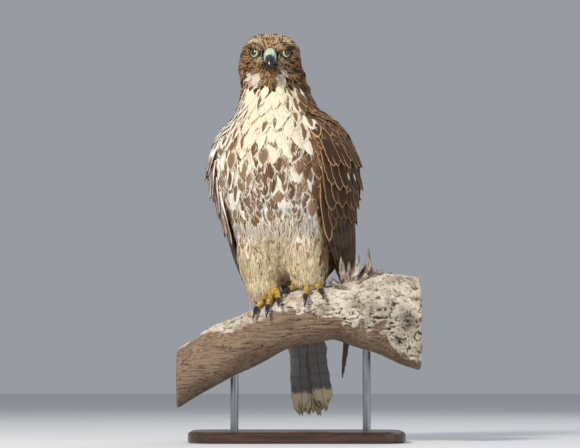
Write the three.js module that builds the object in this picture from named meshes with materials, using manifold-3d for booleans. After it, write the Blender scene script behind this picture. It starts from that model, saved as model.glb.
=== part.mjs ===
// A life-size red-tailed hawk perched on a cut length of dead branch, on a plain display stand.
// Millimetres, +Z up. The branch runs along X and the hawk faces -Y. The origin is on the stand's underside.
import * as THREE from "three";
import { mergeVertices } from "three/addons/utils/BufferGeometryUtils.js";
import Module from "manifold-3d";

const wasm = await Module();
wasm.setup();

// The gap kept between pieces that touch.
const GAP = 0.35;
// Where the hawk's feet meet the branch, and how the body is turned and leans over them.
const FEET = { x: -12, y: 0, z: 192 };
const BODY_TURN = THREE.MathUtils.degToRad(-18);
const BODY_LEAN = THREE.MathUtils.degToRad(-3);
// The middle of the head in the body's frame; the head turns back to face -Y and stays level.
const HEAD_MIDDLE = { x: -1, y: -16, z: 291 };

const COLOURS = {
  brown: 0x5a3d27, darkBrown: 0x35241a, cream: 0xe9dcc2, buff: 0xb89a72, tail: 0x8f7f6d,
  horn: 0x23262e, cere: 0xb9cfae, iris: 0xc9b45a, foot: 0xd9ae45,
  bark: 0xb3a18c, plinth: 0x4a3527, steel: 0x9a9da1,
};

// Numbers

const radians = THREE.MathUtils.degToRad;
const clamp = THREE.MathUtils.clamp;
const mix = THREE.MathUtils.lerp;

// A smooth curve through the rows of a table: each row is [place, value, value, ...], places rising.
function curveThrough(rows) {
  const slope = (row, column) => {
    const before = rows[Math.max(row - 1, 0)];
    const after = rows[Math.min(row + 1, rows.length - 1)];
    return (after[column] - before[column]) / (after[0] - before[0]);
  };
  return (place) => {
    const at = clamp(place, rows[0][0], rows[rows.length - 1][0]);
    let row = 0;
    while (row < rows.length - 2 && at > rows[row + 1][0]) row += 1;
    const [low, high] = [rows[row], rows[row + 1]];
    const span = high[0] - low[0];
    const t = (at - low[0]) / span;
    const [t2, t3] = [t * t, t * t * t];
    return low.slice(1).map((value, index) => {
      const column = index + 1;
      return (2 * t3 - 3 * t2 + 1) * value + (t3 - 2 * t2 + t) * span * slope(row, column)
        + (3 * t2 - 2 * t3) * high[column] + (t3 - t2) * span * slope(row + 1, column);
    });
  };
}

const signedPower = (value, power) => Math.sign(value) * Math.abs(value) ** power;

// Solids

// A closed geometry from rings of equal count, each a list of Vector3. Rings that are bent strips, out along one
// face and back along the other, are closed across the strip, others by a fan from their middle.
function loft(rings, strips = false) {
  const count = rings[0].length;
  const places = [];
  rings.forEach((ring) => ring.forEach((p) => places.push(p.x, p.y, p.z)));
  [rings[0], rings[rings.length - 1]].forEach((ring) => {
    const middle = ring.reduce((sum, p) => sum.add(p), new THREE.Vector3()).divideScalar(count);
    if (!strips) places.push(middle.x, middle.y, middle.z);
  });
  const first = rings.length * count;
  const last = first + 1;
  const faces = [];
  for (let j = 0; j < count; j += 1) {
    const k = (j + 1) % count;
    for (let i = 0; i < rings.length - 1; i += 1) {
      const [a, b] = [i * count, (i + 1) * count];
      faces.push(a + j, a + k, b + k, a + j, b + k, b + j);
    }
    const top = (rings.length - 1) * count;
    if (!strips) faces.push(first, k, j, last, top + j, top + k);
    if (strips && j < count / 2 - 1) {
      const [m, n] = [count - 2 - j, count - 1 - j];
      faces.push(j, m, k, j, n, m, top + j, top + k, top + m, top + j, top + m, top + n);
    }
  }
  const geometry = new THREE.BufferGeometry();
  geometry.setAttribute("position", new THREE.Float32BufferAttribute(places, 3));
  geometry.setIndex(faces);
  return geometry;
}

// A geometry as a solid, turned outside out where its faces point in.
function solid(geometry, matrix) {
  const plain = geometry.clone();
  plain.deleteAttribute("normal");
  plain.deleteAttribute("uv");
  if (matrix) plain.applyMatrix4(matrix);
  const merged = mergeVertices(plain, 1e-4);
  const triVerts = new Uint32Array(merged.index.array);
  const make = () => new wasm.Manifold(
    new wasm.Mesh({ numProp: 3, vertProperties: merged.attributes.position.array, triVerts }),
  );
  const made = make();
  if (made.volume() > 0) return made;
  for (let i = 0; i < triVerts.length; i += 3) {
    [triVerts[i + 1], triVerts[i + 2]] = [triVerts[i + 2], triVerts[i + 1]];
  }
  return make();
}

const joined = (solids) => solids.reduce((sum, piece) => sum.add(piece));

// The largest closed surface of a solid, with sealed hollows filled.
function largest(made) {
  return made.decompose().sort((a, b) => b.volume() - a.volume())[0];
}

function named(name, made, colour, finish = {}) {
  const { numProp, vertProperties, triVerts } = largest(made).getMesh();
  const places = new Float32Array((vertProperties.length / numProp) * 3);
  for (let i = 0; i < places.length / 3; i += 1) {
    places.set(vertProperties.subarray(i * numProp, i * numProp + 3), i * 3);
  }
  const geometry = new THREE.BufferGeometry();
  geometry.setAttribute("position", new THREE.BufferAttribute(places, 3));
  geometry.setIndex(new THREE.BufferAttribute(new Uint32Array(triVerts), 1));
  geometry.computeVertexNormals();
  const { roughness = 0.85, metalness = 0 } = finish;
  const material = new THREE.MeshStandardMaterial({ color: colour, roughness, metalness });
  const mesh = new THREE.Mesh(geometry, material);
  mesh.name = name;
  return mesh;
}

// The body and neck

// Height above the feet; the section's middle, half width, depth in front and depth behind; the turn towards the head.
const BODY_ROWS = [
  [10, 44, 34, 32, 28, 0],
  [24, 40, 50, 50, 34, 0],
  [45, 34, 62, 66, 40, 0],
  [70, 27, 70, 76, 46, 0],
  [100, 19, 77, 82, 50, 0],
  [130, 13, 81, 84, 51, 0],
  [160, 8, 81, 82, 50, 0],
  [185, 5, 76, 75, 48, 0],
  [205, 3, 67, 66, 46, 0],
  [220, 1, 58, 57, 45, 0],
  [233, -2, 51, 50, 44, 8],
  [247, -6, 46, 45, 42, 14],
  [262, -10, 43, 38, 40, 17],
  [282, -13, 38, 26, 36, 18],
];
const bodySection = curveThrough(BODY_ROWS);
const BODY_SQUARE = 2.2;
const BODY_SIDES = 26;
const BODY_STEP = 15;
const NECK_FOOT = 226;

// A point on the body: height above the feet, angle from the breast towards the hawk's left, distance off the surface.
function bodyPoint(height, angle, off = 0) {
  const [middle, half, front, back, turn] = bodySection(height);
  const [c, s] = [Math.cos(angle), Math.sin(angle)];
  const power = 2 / BODY_SQUARE;
  const depth = (c > 0 ? front : back) + off;
  const x = (half + off) * signedPower(s, power);
  const y = -depth * signedPower(c, power);
  const twist = radians(turn);
  return new THREE.Vector3(
    x * Math.cos(twist) - y * Math.sin(twist),
    middle + x * Math.sin(twist) + y * Math.cos(twist),
    height,
  );
}

function ringAround(pointAt, sides) {
  return Array.from({ length: sides }, (_, i) => pointAt((i / sides) * 2 * Math.PI));
}

function bodyLength(low, high, off = 0) {
  const steps = Math.max(1, Math.round((high - low) / BODY_STEP));
  const rings = [];
  for (let i = 0; i <= steps; i += 1) {
    const height = mix(low, high, i / steps);
    rings.push(ringAround((angle) => bodyPoint(height, angle, off), BODY_SIDES));
  }
  return loft(rings);
}

const bodyGrown = solid(bodyLength(BODY_ROWS[0][0] - GAP, NECK_FOOT, GAP));

// The head

const HEAD = { side: 37.5, front: 38, back: 42, up: 34, down: 36, square: 2.3 };
// Swellings and hollows of the head: turn from the face, rise above level, width, height; mirrored on both sides.
const HEAD_FORMS = [
  { turn: 38, rise: 36, width: 15, height: 1.6 },
  { turn: 40, rise: 8, width: 11, height: -1.6 },
  { turn: 72, rise: -34, width: 30, height: 4.5 },
  { turn: 110, rise: -25, width: 35, height: 2.5 },
  { turn: 17, rise: 3, width: 10, height: -2.2 },
  { turn: 0, rise: 42, width: 26, height: -5.0 },
  { turn: 0, rise: -42, width: 26, height: -8.0 },
];
const EYE = { side: 16.6, front: -26, up: 5.2, radius: 8.5, turn: radians(33) };
const HEAD_TURNS = 24;
const HEAD_RISES = 16;

const direction = (turn, rise) => new THREE.Vector3(
  Math.sin(turn) * Math.cos(rise), -Math.cos(turn) * Math.cos(rise), Math.sin(rise),
);
const headForms = HEAD_FORMS.flatMap(({ turn, rise, width, height }) => [-1, 1].map((side) => ({
  towards: direction(radians(turn * side), radians(rise)),
  spread: radians(width),
  height: turn === 0 ? height / 2 : height,
})));

function headReach(towards) {
  const along = (value, low, high) => Math.abs(value / (value < 0 ? low : high)) ** HEAD.square;
  const sum = along(towards.x, HEAD.side, HEAD.side) + along(towards.y, HEAD.front, HEAD.back)
    + along(towards.z, HEAD.down, HEAD.up);
  const plain = sum ** (-1 / HEAD.square);
  return headForms.reduce((reach, form) => {
    const apart = towards.angleTo(form.towards) / form.spread;
    return reach + form.height * Math.exp(-apart * apart);
  }, plain);
}

function headShape(off = 0) {
  const rings = [];
  for (let i = 1; i < HEAD_RISES; i += 1) {
    const rise = mix(-Math.PI / 2, Math.PI / 2, i / HEAD_RISES);
    rings.push(ringAround((turn) => {
      const towards = direction(turn, rise);
      return towards.multiplyScalar(headReach(towards) + off);
    }, HEAD_TURNS));
  }
  return loft(rings);
}

const headMatrix = new THREE.Matrix4().makeRotationFromEuler(
  new THREE.Euler(0, -BODY_LEAN, 0),
).premultiply(new THREE.Matrix4().makeRotationZ(-BODY_TURN))
  .setPosition(HEAD_MIDDLE.x, HEAD_MIDDLE.y, HEAD_MIDDLE.z);

const eyeMiddle = (side) => new THREE.Vector3(side * EYE.side, EYE.front, EYE.up);

function ball(radius, middle, scale = new THREE.Vector3(1, 1, 1), turns = 14, rises = 8) {
  const geometry = new THREE.SphereGeometry(radius, turns, rises);
  geometry.scale(scale.x, scale.y, scale.z);
  geometry.translate(middle.x, middle.y, middle.z);
  return geometry;
}

// The rim of bare lid round an eye: a ring on the eyeball, its axis along the eye's gaze.
const LID = { inside: 6.1, outside: 8.3, back: 2.4, front: 7.0, sides: 12 };
function lidRing(side) {
  const profile = [
    [LID.inside, LID.back], [LID.outside, LID.back], [LID.outside, LID.front - 1.6],
    [LID.outside - 0.9, LID.front - 0.4], [LID.inside + 0.4, LID.front], [LID.inside, LID.front - 0.7],
  ].map(([radius, along]) => new THREE.Vector2(radius, along));
  profile.push(profile[0].clone());
  const ring = new THREE.LatheGeometry(profile, LID.sides);
  ring.rotateX(Math.PI);
  ring.rotateZ(side * EYE.turn);
  const middle = eyeMiddle(side);
  ring.translate(middle.x, middle.y, middle.z);
  return ring;
}

// The opening between the lids, a short cylinder along the eye's gaze.
function lidOpening(side) {
  const opening = new THREE.CylinderGeometry(LID.inside, LID.inside, 2 * LID.outside, LID.sides);
  opening.translate(0, -LID.back - LID.outside, 0);
  opening.rotateZ(side * EYE.turn);
  const middle = eyeMiddle(side);
  opening.translate(middle.x, middle.y, middle.z);
  return opening;
}

// The bony brow that shades each eye: turn from the face and rise above level, then height off the head,
// half width across and half height of the bar, from the root of the bill back over the eye.
const BROW_ROWS = [
  [0, 15, 16, -0.6, 1.0, 1.0],
  [0.3, 27, 21, 0.6, 2.4, 2.0],
  [0.6, 42, 22, 1.0, 2.8, 2.2],
  [0.85, 57, 20, 0.2, 2.2, 1.8],
  [1, 67, 17, -0.8, 1.0, 1.0],
];
const BROW = { steps: 4, sides: 6 };
const browSection = curveThrough(BROW_ROWS);
function browBar(side) {
  const rings = [];
  for (let i = 0; i <= BROW.steps; i += 1) {
    const [turn, rise, off, wide, high] = browSection(i / BROW.steps);
    const towards = direction(radians(side * turn), radians(rise));
    const middle = towards.clone().multiplyScalar(headReach(towards) + off);
    const outwards = new THREE.Vector3(towards.x, towards.y, 0).normalize();
    rings.push(ringAround((angle) => middle.clone().addScaledVector(outwards, wide * Math.cos(angle))
      .add(new THREE.Vector3(0, 0, high * Math.sin(angle))), BROW.sides));
  }
  return loft(rings);
}

// The bill: its middle line in the head's frame, with half width and half height square to that line.
const BILL_ROWS = [
  [0, -28, 1.5, 10.5, 10.4],
  [0.25, -36, 0.2, 9.0, 9.6],
  [0.45, -43.5, -4.2, 7.2, 8.2],
  [0.62, -49.6, -9.2, 5.6, 6.8],
  [0.78, -53.4, -14.8, 4.0, 5.0],
  [0.9, -54.8, -19.6, 2.4, 3.1],
  [1, -54.4, -24.0, 0.7, 0.9],
];
const billSection = curveThrough(BILL_ROWS);
const CERE_END = 0.49;
const BILL_SIDES = 12;
function billLength(from, to, steps, off = 0) {
  const rings = [];
  for (let i = 0; i <= steps; i += 1) {
    const place = mix(from, to, i / steps);
    const [y, z, wide, high] = billSection(place);
    const [ya, za] = billSection(place - 0.02);
    const [yb, zb] = billSection(place + 0.02);
    const length = Math.hypot(yb - ya, zb - za);
    const up = new THREE.Vector3(0, (zb - za) / length, -(yb - ya) / length);
    rings.push(ringAround((angle) => new THREE.Vector3(0, y, z)
      .add(new THREE.Vector3((wide + off) * signedPower(Math.sin(angle), 0.9), 0, 0))
      .addScaledVector(up, (high + off) * signedPower(Math.cos(angle), 0.9)), BILL_SIDES));
  }
  return loft(rings);
}

// The lower mandible, a shallow scoop under the bill that ends inside the hook.
const LOWER_BILL_ROWS = [
  [0, -26, -11.6, 9.4, 3.2],
  [0.4, -36, -12.8, 7.4, 3.2],
  [0.75, -43, -14.2, 5.0, 2.6],
  [1, -48, -15.4, 2.2, 1.2],
];
const LOWER_BILL = { steps: 5, sides: 12 };
const lowerBillSection = curveThrough(LOWER_BILL_ROWS);
function lowerBill(off = 0) {
  const rings = [];
  for (let i = 0; i <= LOWER_BILL.steps; i += 1) {
    const [y, z, wide, high] = lowerBillSection(i / LOWER_BILL.steps);
    rings.push(ringAround((angle) => new THREE.Vector3(
      (wide + off) * Math.sin(angle), y, z + (high + off) * Math.cos(angle),
    ), LOWER_BILL.sides));
  }
  return loft(rings);
}

const NOSTRIL = { side: 7.6, front: -41, up: 0.4, radius: 1.6 };
const MOUTH = { back: -14, front: -40, up: -6.2, half: 0.5, side: 40 };

function headNodes() {
  const headSolid = solid(headShape());
  const eyeSockets = [-1, 1].map((side) => solid(ball(EYE.radius + GAP, eyeMiddle(side)))
    .add(solid(lidOpening(side))));
  const lids = [-1, 1].map((side) => solid(lidRing(side)));
  const brows = [-1, 1].map((side) => solid(browBar(side)));
  // The line of the mouth runs back from the bill under each eye as a thin groove.
  const mouthBox = new THREE.BoxGeometry(2 * MOUTH.side, MOUTH.back - MOUTH.front, 2 * MOUTH.half);
  mouthBox.translate(0, (MOUTH.back + MOUTH.front) / 2, MOUTH.up);
  const mouthCore = solid(headShape(-1.6));
  const mouth = solid(mouthBox).subtract(mouthCore);
  const billRoot = solid(billLength(0.02, CERE_END + 0.1, 5, GAP));
  const head = joined([headSolid, ...lids, ...brows]).subtract(joined(eyeSockets)).subtract(mouth)
    .subtract(billRoot).subtract(solid(lowerBill(GAP)));
  const nostrils = [-1, 1].map((side) => solid(ball(
    NOSTRIL.radius, new THREE.Vector3(side * NOSTRIL.side, NOSTRIL.front, NOSTRIL.up),
    new THREE.Vector3(1, 1, 1), 10, 6,
  )));
  const innerHead = solid(headShape(-4));
  const cere = solid(billLength(0.06, CERE_END, 5)).subtract(joined(nostrils)).subtract(innerHead);
  const hook = solid(billLength(CERE_END + 0.018, 1, 9));
  const lower = solid(lowerBill()).subtract(solid(billLength(0, 1, 12, GAP))).subtract(innerHead);
  return { head, cere, hook, lower };
}

// The branch that the hawk grips

// Place along X; the section's middle height, half height and half depth.
const BRANCH_ROWS = [
  [-150, 79, 36.5, 30],
  [-112, 102, 38.5, 33],
  [-65, 125.5, 36.5, 33],
  [-34, 143, 37.5, 34],
  [-3, 154.5, 36, 35],
  [29, 160, 35.5, 35],
  [50, 162, 35, 36],
  [82, 161, 45, 43],
  [113, 159, 52, 49],
  [155, 147, 60, 54],
];
const branchSection = curveThrough(BRANCH_ROWS);
const BRANCH_Y = -12;
const BRANCH_SIDES = 18;
const BRANCH_STEPS = 20;

// Lumps of the weathered wood, as a share of the section's size.
function branchLump(x, angle) {
  return 1 + 0.02 * Math.sin(3 * angle + x / 23) + 0.018 * Math.sin(5 * angle - x / 14 + 1)
    + 0.012 * Math.sin(x / 9 + 2 * angle);
}

// A point on the branch: place along X, angle from the top towards the front, distance off the surface.
function branchPoint(x, angle, off = 0) {
  const [middle, high, deep] = branchSection(x);
  const lump = branchLump(x, angle);
  return new THREE.Vector3(
    x,
    BRANCH_Y - (deep * lump + off) * Math.sin(angle),
    middle + (high * lump + off) * Math.cos(angle),
  );
}

function branchLength(off = 0) {
  const [from, to] = [BRANCH_ROWS[0][0] - off, BRANCH_ROWS[BRANCH_ROWS.length - 1][0] + off];
  const rings = [];
  for (let i = 0; i <= BRANCH_STEPS; i += 1) {
    const x = mix(from, to, i / BRANCH_STEPS);
    rings.push(ringAround((angle) => branchPoint(x, angle, off), BRANCH_SIDES));
  }
  return loft(rings);
}

// Splinters left where a limb tore out: root on the branch, lean, length and size.
const SPLINTERS = [
  { x: 62, angle: 4, lean: [-6, 2], length: 26, wide: 7, deep: 4 },
  { x: 72, angle: 8, lean: [3, 0], length: 24, wide: 6, deep: 5 },
  { x: 79, angle: -6, lean: [9, 3], length: 20, wide: 5, deep: 4 },
  { x: 96, angle: -22, lean: [-6, 4], length: 30, wide: 4, deep: 4 },
  { x: 66, angle: 30, lean: [-18, -4], length: 12, wide: 5, deep: 5 },
];
function splinter({ x, angle, lean, length, wide, deep }, off = 0) {
  const root = branchPoint(x, radians(angle), -5);
  const rings = [];
  const steps = 4;
  for (let i = 0; i <= steps; i += 1) {
    const t = i / steps;
    const size = 1 - 0.62 * t ** 1.5;
    const middle = root.clone().add(new THREE.Vector3(lean[0] * t, lean[1] * t, (length + 5) * t));
    const [across, through] = [wide * size + off, deep * size + off];
    rings.push(ringAround((a) => middle.clone().add(
      new THREE.Vector3(across * Math.cos(a), through * Math.sin(a), 0),
    ), 6));
  }
  return loft(rings);
}

// Legs and feet

// Each feathered leg in the body's frame: height; middle to the side and back; half width and half depth.
const LEG_ROWS = [
  [-6, 31, -3, 14, 12],
  [3, 31, -4, 19, 16],
  [14, 31, -6, 24, 20],
  [30, 31, -9, 27, 24],
  [50, 30, -12, 28, 27],
  [75, 28, -14, 26, 27],
  [95, 25, -12, 20, 22],
];
const legSection = curveThrough(LEG_ROWS);
const LEG = { steps: 9, sides: 18 };
function legShape(side, off = 0) {
  const rings = [];
  for (let i = 0; i <= LEG.steps; i += 1) {
    const height = mix(LEG_ROWS[0][0], LEG_ROWS[LEG_ROWS.length - 1][0], i / LEG.steps);
    const [across, back, wide, deep] = legSection(height);
    rings.push(ringAround((angle) => new THREE.Vector3(
      side * across + (wide + off) * Math.sin(angle), back - (deep + off) * Math.cos(angle), height,
    ), LEG.sides));
  }
  return loft(rings);
}

const birdMatrix = new THREE.Matrix4().makeRotationZ(BODY_TURN)
  .premultiply(new THREE.Matrix4().makeRotationY(BODY_LEAN)).setPosition(FEET.x, FEET.y, FEET.z);
const birdInverse = birdMatrix.clone().invert();

const TOE = { thick: 4.7, joints: 6, sides: 6, lift: 0.4 };
// Each foot's middle along the branch, and each toe: how far along the branch it starts and ends from there,
// and round the branch from the top towards the front, in degrees.
const FEET_ON_BRANCH = [
  {
    hand: "right", side: -1, x: -28,
    toes: [
      { name: "inner", start: 3, across: 5, from: 8, to: 44 },
      { name: "middle", start: 0, across: -8, from: 10, to: 50 },
      { name: "outer", start: -4, across: -22, from: 8, to: 38 },
      { name: "hind", start: 0, across: 3, from: -14, to: -58 },
    ],
  },
  {
    hand: "left", side: 1, x: 15,
    toes: [
      { name: "inner", start: -4, across: -25, from: 4, to: 16 },
      { name: "middle", start: 0, across: -4, from: 10, to: 50 },
      { name: "outer", start: 4, across: 15, from: 8, to: 42 },
      { name: "hind", start: 0, across: 3, from: -14, to: -58 },
    ],
  },
];
const CLAW = {
  turn: new THREE.Vector3(0.4, 1, 1), length: 21, thick: 3.4, steps: 5, sides: 6, bend: 66, lift: 26,
};
const FOOT_PAD = { wide: 8.5, deep: 10.5, high: 7, rise: 6.2 };

// Rings square to a path, each with its own radius.
function tubeAlong(points, radii, sides) {
  const rings = points.map((point, i) => {
    const before = points[Math.max(i - 1, 0)];
    const after = points[Math.min(i + 1, points.length - 1)];
    const along = after.clone().sub(before).normalize();
    const across = new THREE.Vector3(1, 0, 0).addScaledVector(along, -along.x).normalize();
    const up = along.clone().cross(across);
    return ringAround((angle) => point.clone().addScaledVector(across, radii[i] * Math.cos(angle))
      .addScaledVector(up, radii[i] * Math.sin(angle)), sides);
  });
  return loft(rings);
}

function toePath(footX, toe) {
  const points = [];
  const radii = [];
  for (let i = 0; i <= TOE.joints; i += 1) {
    const t = i / TOE.joints;
    const knuckle = 0.45 * Math.cos(2 * Math.PI * t * 3);
    const radius = TOE.thick * (1 - 0.28 * t) + knuckle;
    const x = footX + mix(toe.start, toe.across, t ** 0.85);
    points.push(branchPoint(x, radians(mix(toe.from, toe.to, t)), radius + TOE.lift));
    radii.push(radius);
  }
  return { points, radii };
}

// A claw hooks out and down from the toe's end, its tip resting on the bark.
function clawPath(toe, path) {
  const end = path.points[path.points.length - 1];
  const before = path.points[path.points.length - 2];
  const along = end.clone().sub(before).multiply(CLAW.turn).normalize();
  const sense = Math.sign(toe.to);
  const hinge = new THREE.Vector3(1, 0, 0);
  const points = [];
  const radii = [];
  const heading = along.clone().applyAxisAngle(hinge, -sense * radians(CLAW.lift));
  const place = end.clone().addScaledVector(along, 2 * GAP);
  for (let i = 0; i <= CLAW.steps; i += 1) {
    const t = i / CLAW.steps;
    points.push(place.clone());
    radii.push(CLAW.thick * (1 - t) ** 0.75 + 0.25);
    heading.applyAxisAngle(hinge, sense * radians(CLAW.bend / CLAW.steps));
    place.addScaledVector(heading, CLAW.length / CLAW.steps);
  }
  return { points, radii };
}

// Feathers

const VANE = { thick: 0.5, step: 45, root: 0.6, clear: 8 };
// How a vane narrows: distance before its tip, and share of its full width there.
const POINTED = [[15, 0.95], [5.5, 0.68], [0, 0.22]];
const BLUNT = [[12, 1], [3.5, 0.86], [0, 0.5]];

// A feather's vane as a thin closed slab, hanging from root to tip. placeAt gives the point at a height,
// a distance sideways from the middle line and a distance off the feather's own surface.
function vane({ placeAt, root, tip, half, ends = POINTED }) {
  const stations = [[root, VANE.root]];
  const first = Math.floor((root - VANE.clear) / VANE.step) * VANE.step;
  for (let height = first; height > tip + ends[0][0] + VANE.clear; height -= VANE.step) {
    stations.push([height, 1]);
  }
  ends.forEach(([above, share]) => stations.push([tip + above, share]));
  const sides = [-1, 0, 1];
  const rings = stations.map(([height, share]) => [
    ...sides.map((u) => placeAt(height, u * share * half, VANE.thick / 2)),
    ...sides.map((u) => placeAt(height, -u * share * half, -VANE.thick / 2)),
  ]);
  const count = 2 * sides.length;
  const faces = [];
  // Both faces are split along the same diagonals.
  const quad = (p, q, r, t) => faces.push(p, q, r, p, r, t);
  for (let i = 0; i < rings.length - 1; i += 1) {
    const [a, b] = [i * count, (i + 1) * count];
    [[0, 1], [1, 2], [2, 3], [5, 0]].forEach(([j, k]) => quad(a + j, a + k, b + k, b + j));
    [[3, 4], [4, 5]].forEach(([j, k]) => quad(a + k, b + k, b + j, a + j));
  }
  const end = (rings.length - 1) * count;
  [[0, 1, 4, 5], [1, 2, 3, 4]].forEach(([j, k, l, m]) => {
    quad(j, m, l, k);
    quad(end + j, end + k, end + l, end + m);
  });
  const geometry = new THREE.BufferGeometry();
  const places = rings.flat().flatMap((point) => [point.x, point.y, point.z]);
  geometry.setAttribute("position", new THREE.Float32BufferAttribute(places, 3));
  geometry.setIndex(faces);
  return solid(geometry);
}

// Wings

// The surface that the folded wings lie on: as the body above, then in towards the tail.
const WING_BED_ROWS = [
  [-125, 77, 38, 36, 30],
  [-80, 69, 48, 38, 32],
  [-40, 62, 57, 40, 34],
  [0, 50, 66, 46, 36],
  [30, 38, 71, 57, 41],
  [60, 30, 75, 70, 44],
  [100, 19, 78, 82, 50],
  [130, 13, 81, 84, 51],
  [160, 8, 81, 82, 50],
  [185, 5, 76, 75, 48],
  [205, 3, 67, 66, 46],
  [220, 1, 58, 57, 45],
  [233, -2, 51, 50, 44],
  [247, -6, 46, 45, 42],
];
const wingBed = curveThrough(WING_BED_ROWS);

// A point off the wing's bed: height, angle from the breast towards the wing's side, distance off.
function bedPoint(side, height, angle, off) {
  const at = (h, a) => {
    const [middle, half, front, back] = wingBed(h);
    const [c, s] = [Math.cos(a), Math.sin(a)];
    const power = 2 / BODY_SQUARE;
    const depth = c > 0 ? front : back;
    return new THREE.Vector3(half * signedPower(s, power), middle - depth * signedPower(c, power), h);
  };
  const [dh, da] = [2, 0.03];
  const rising = at(height + dh, angle).sub(at(height - dh, angle));
  const round = at(height, angle + da).sub(at(height, angle - da));
  const point = at(height, angle).addScaledVector(round.cross(rising).normalize(), off);
  point.x *= side;
  return point;
}

// The same between two heights one vane step apart, so that feathers laid over one another stay apart.
function steppedPoint(side, height, angle, off) {
  const low = Math.floor(height / VANE.step) * VANE.step;
  const below = bedPoint(side, low, angle, off);
  const above = bedPoint(side, low + VANE.step, angle, off);
  return below.lerp(above, (height - low) / VANE.step);
}

// The length of one radian along the wing's bed.
function bedArc(height, angle) {
  const turn = 0.05;
  return bedPoint(1, height, angle + turn, 0).distanceTo(bedPoint(1, height, angle - turn, 0)) / (2 * turn);
}

// The angle of the foremost flight feather and the fan behind it, in degrees, by height.
const wingFan = curveThrough([
  [-125, 88, 28],
  [-80, 92, 36],
  [-40, 93, 52],
  [0, 82, 82],
  [30, 67, 102],
  [60, 59, 108],
  [100, 58, 108],
  [150, 57, 108],
]);
// How far each wing's tip is carried round behind the tail, in degrees: the right one lies on the tail.
const tipCarry = {
  1: curveThrough([[-125, 2], [-60, 2], [10, 0], [60, 0]]),
  [-1]: curveThrough([[-125, 86], [-90, 72], [-45, 42], [0, 18], [45, 4], [90, 0]]),
};

// Tips of the flight feathers by height, from the outermost primary to the innermost tertial.
const FLIGHT_TIPS = [-84, -116, -106, -88, -67, -43, -22, -3, 13, 28, 43, 58];
// How much higher each wing's tip is held than these.
const TIP_HELD = { 1: 0, [-1]: 14 };
const FLIGHT = { primaries: 5, root: 130, off: 2.0, layer: 1.25, primaryHalf: 10.5, half: 13.5 };
// Tiers of coverts over them, from the lowest: count, root and tip, first angle and fan, height off the flight
// feathers at the root and how much more at the tip; then the alula's few at the wing's front edge.
const COVERTS = [
  { count: 8, root: 122, tip: 82, rise: 4, front: 62, fan: 103, off: 2.2, lift: 0.5, half: 13.5 },
  { count: 7, root: 158, tip: 116, rise: 4, front: 60, fan: 104, off: 3.0, lift: 7, half: 13.5 },
  { count: 2, root: 128, tip: 54, rise: 20, front: 53, fan: 7, off: 2.4, lift: 0.5, half: 7 },
];
// The wing's arm under its small coverts, a curved pad on the wing's bed.
const ARM = { top: 224, bottom: 106, rows: 8, columns: 9, front: 9.5, back: 20.5 };
const armEdges = curveThrough([
  [106, 50, 178.8],
  [140, 48, 179],
  [180, 47, 179],
  [200, 51, 179],
  [213, 60, 176],
  [224, 76, 160],
]);
// How full the pad is, and its height off the bed.
const armFullness = curveThrough([
  [106, 0.76, 0.9],
  [122, 1, 0.9],
  [150, 1.06, 0.9],
  [180, 1, 0.9],
  [200, 0.78, 1.2],
  [213, 0.46, 2.0],
  [224, 0.1, 2.6],
]);
const flightOff = (share) => FLIGHT.off + FLIGHT.layer * (FLIGHT_TIPS.length - 1) * share;

function wingVane(side, { angleAt, offAt, root, tip, half }) {
  const placeAt = (height, sideways, rise) => {
    const angle = angleAt(height);
    return steppedPoint(side, height, angle + sideways / bedArc(height, angle), offAt(height) + rise);
  };
  return vane({ placeAt, root, tip, half });
}

function flightFeather(side, index) {
  const share = index / (FLIGHT_TIPS.length - 1);
  const angleAt = (height) => {
    const [front, fan] = wingFan(height);
    const [carry] = tipCarry[side](height);
    return radians(front + fan * share + carry * (1 - share));
  };
  const half = index < FLIGHT.primaries ? FLIGHT.primaryHalf : FLIGHT.half;
  const tip = FLIGHT_TIPS[index] + TIP_HELD[side] * (1 - share);
  return wingVane(side, { angleAt, offAt: () => flightOff(share), root: FLIGHT.root, tip, half });
}

function covertTier(side, { count, root, tip, rise, front, fan, off, lift, half }) {
  return Array.from({ length: count }, (_, i) => {
    const share = i / (count - 1);
    const [flightFront, flightFan] = wingFan(tip);
    const angle = front + fan * share;
    const over = clamp((angle + 8 - flightFront) / flightFan, 0, 1);
    const offAt = (height) => flightOff(over) + off + lift * (root - height) / (root - tip);
    return wingVane(side, { angleAt: () => radians(angle), offAt, root, half, tip: tip + rise * share });
  });
}

function armPad(side) {
  const rings = [];
  for (let i = 0; i <= ARM.rows; i += 1) {
    const height = mix(ARM.bottom, ARM.top, i / ARM.rows);
    const [front, back] = armEdges(height);
    const [full, lift] = armFullness(height);
    const outer = [];
    const inner = [];
    for (let j = 0; j <= ARM.columns; j += 1) {
      const share = j / ARM.columns;
      const angle = radians(mix(front, back, share));
      const rounding = 0.15 + 0.85 * Math.min(1, share / 0.22) ** 0.6;
      const thick = full * rounding * mix(ARM.front, ARM.back, share);
      outer.push(bedPoint(side, height, angle, lift + thick));
      inner.unshift(bedPoint(side, height, angle, lift));
    }
    rings.push([...outer, ...inner]);
  }
  return solid(loft(rings, true));
}

// The room that the wing takes beside a leg.
const WING_ROOM = { top: 112, bottom: -60, steps: 8, columns: 6, front: 12, off: 1.2, deep: 30 };
function wingRoom(side) {
  const rings = [];
  for (let i = 0; i <= WING_ROOM.steps; i += 1) {
    const height = mix(WING_ROOM.bottom, WING_ROOM.top, i / WING_ROOM.steps);
    const [front] = wingFan(height);
    const angles = Array.from({ length: WING_ROOM.columns + 1 }, (_, j) => (
      radians(mix(front - WING_ROOM.front, 150, j / WING_ROOM.columns))
    ));
    rings.push([
      ...angles.map((angle) => bedPoint(side, height, angle, WING_ROOM.deep)),
      ...angles.reverse().map((angle) => bedPoint(side, height, angle, WING_ROOM.off)),
    ]);
  }
  return solid(loft(rings, true));
}

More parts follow.
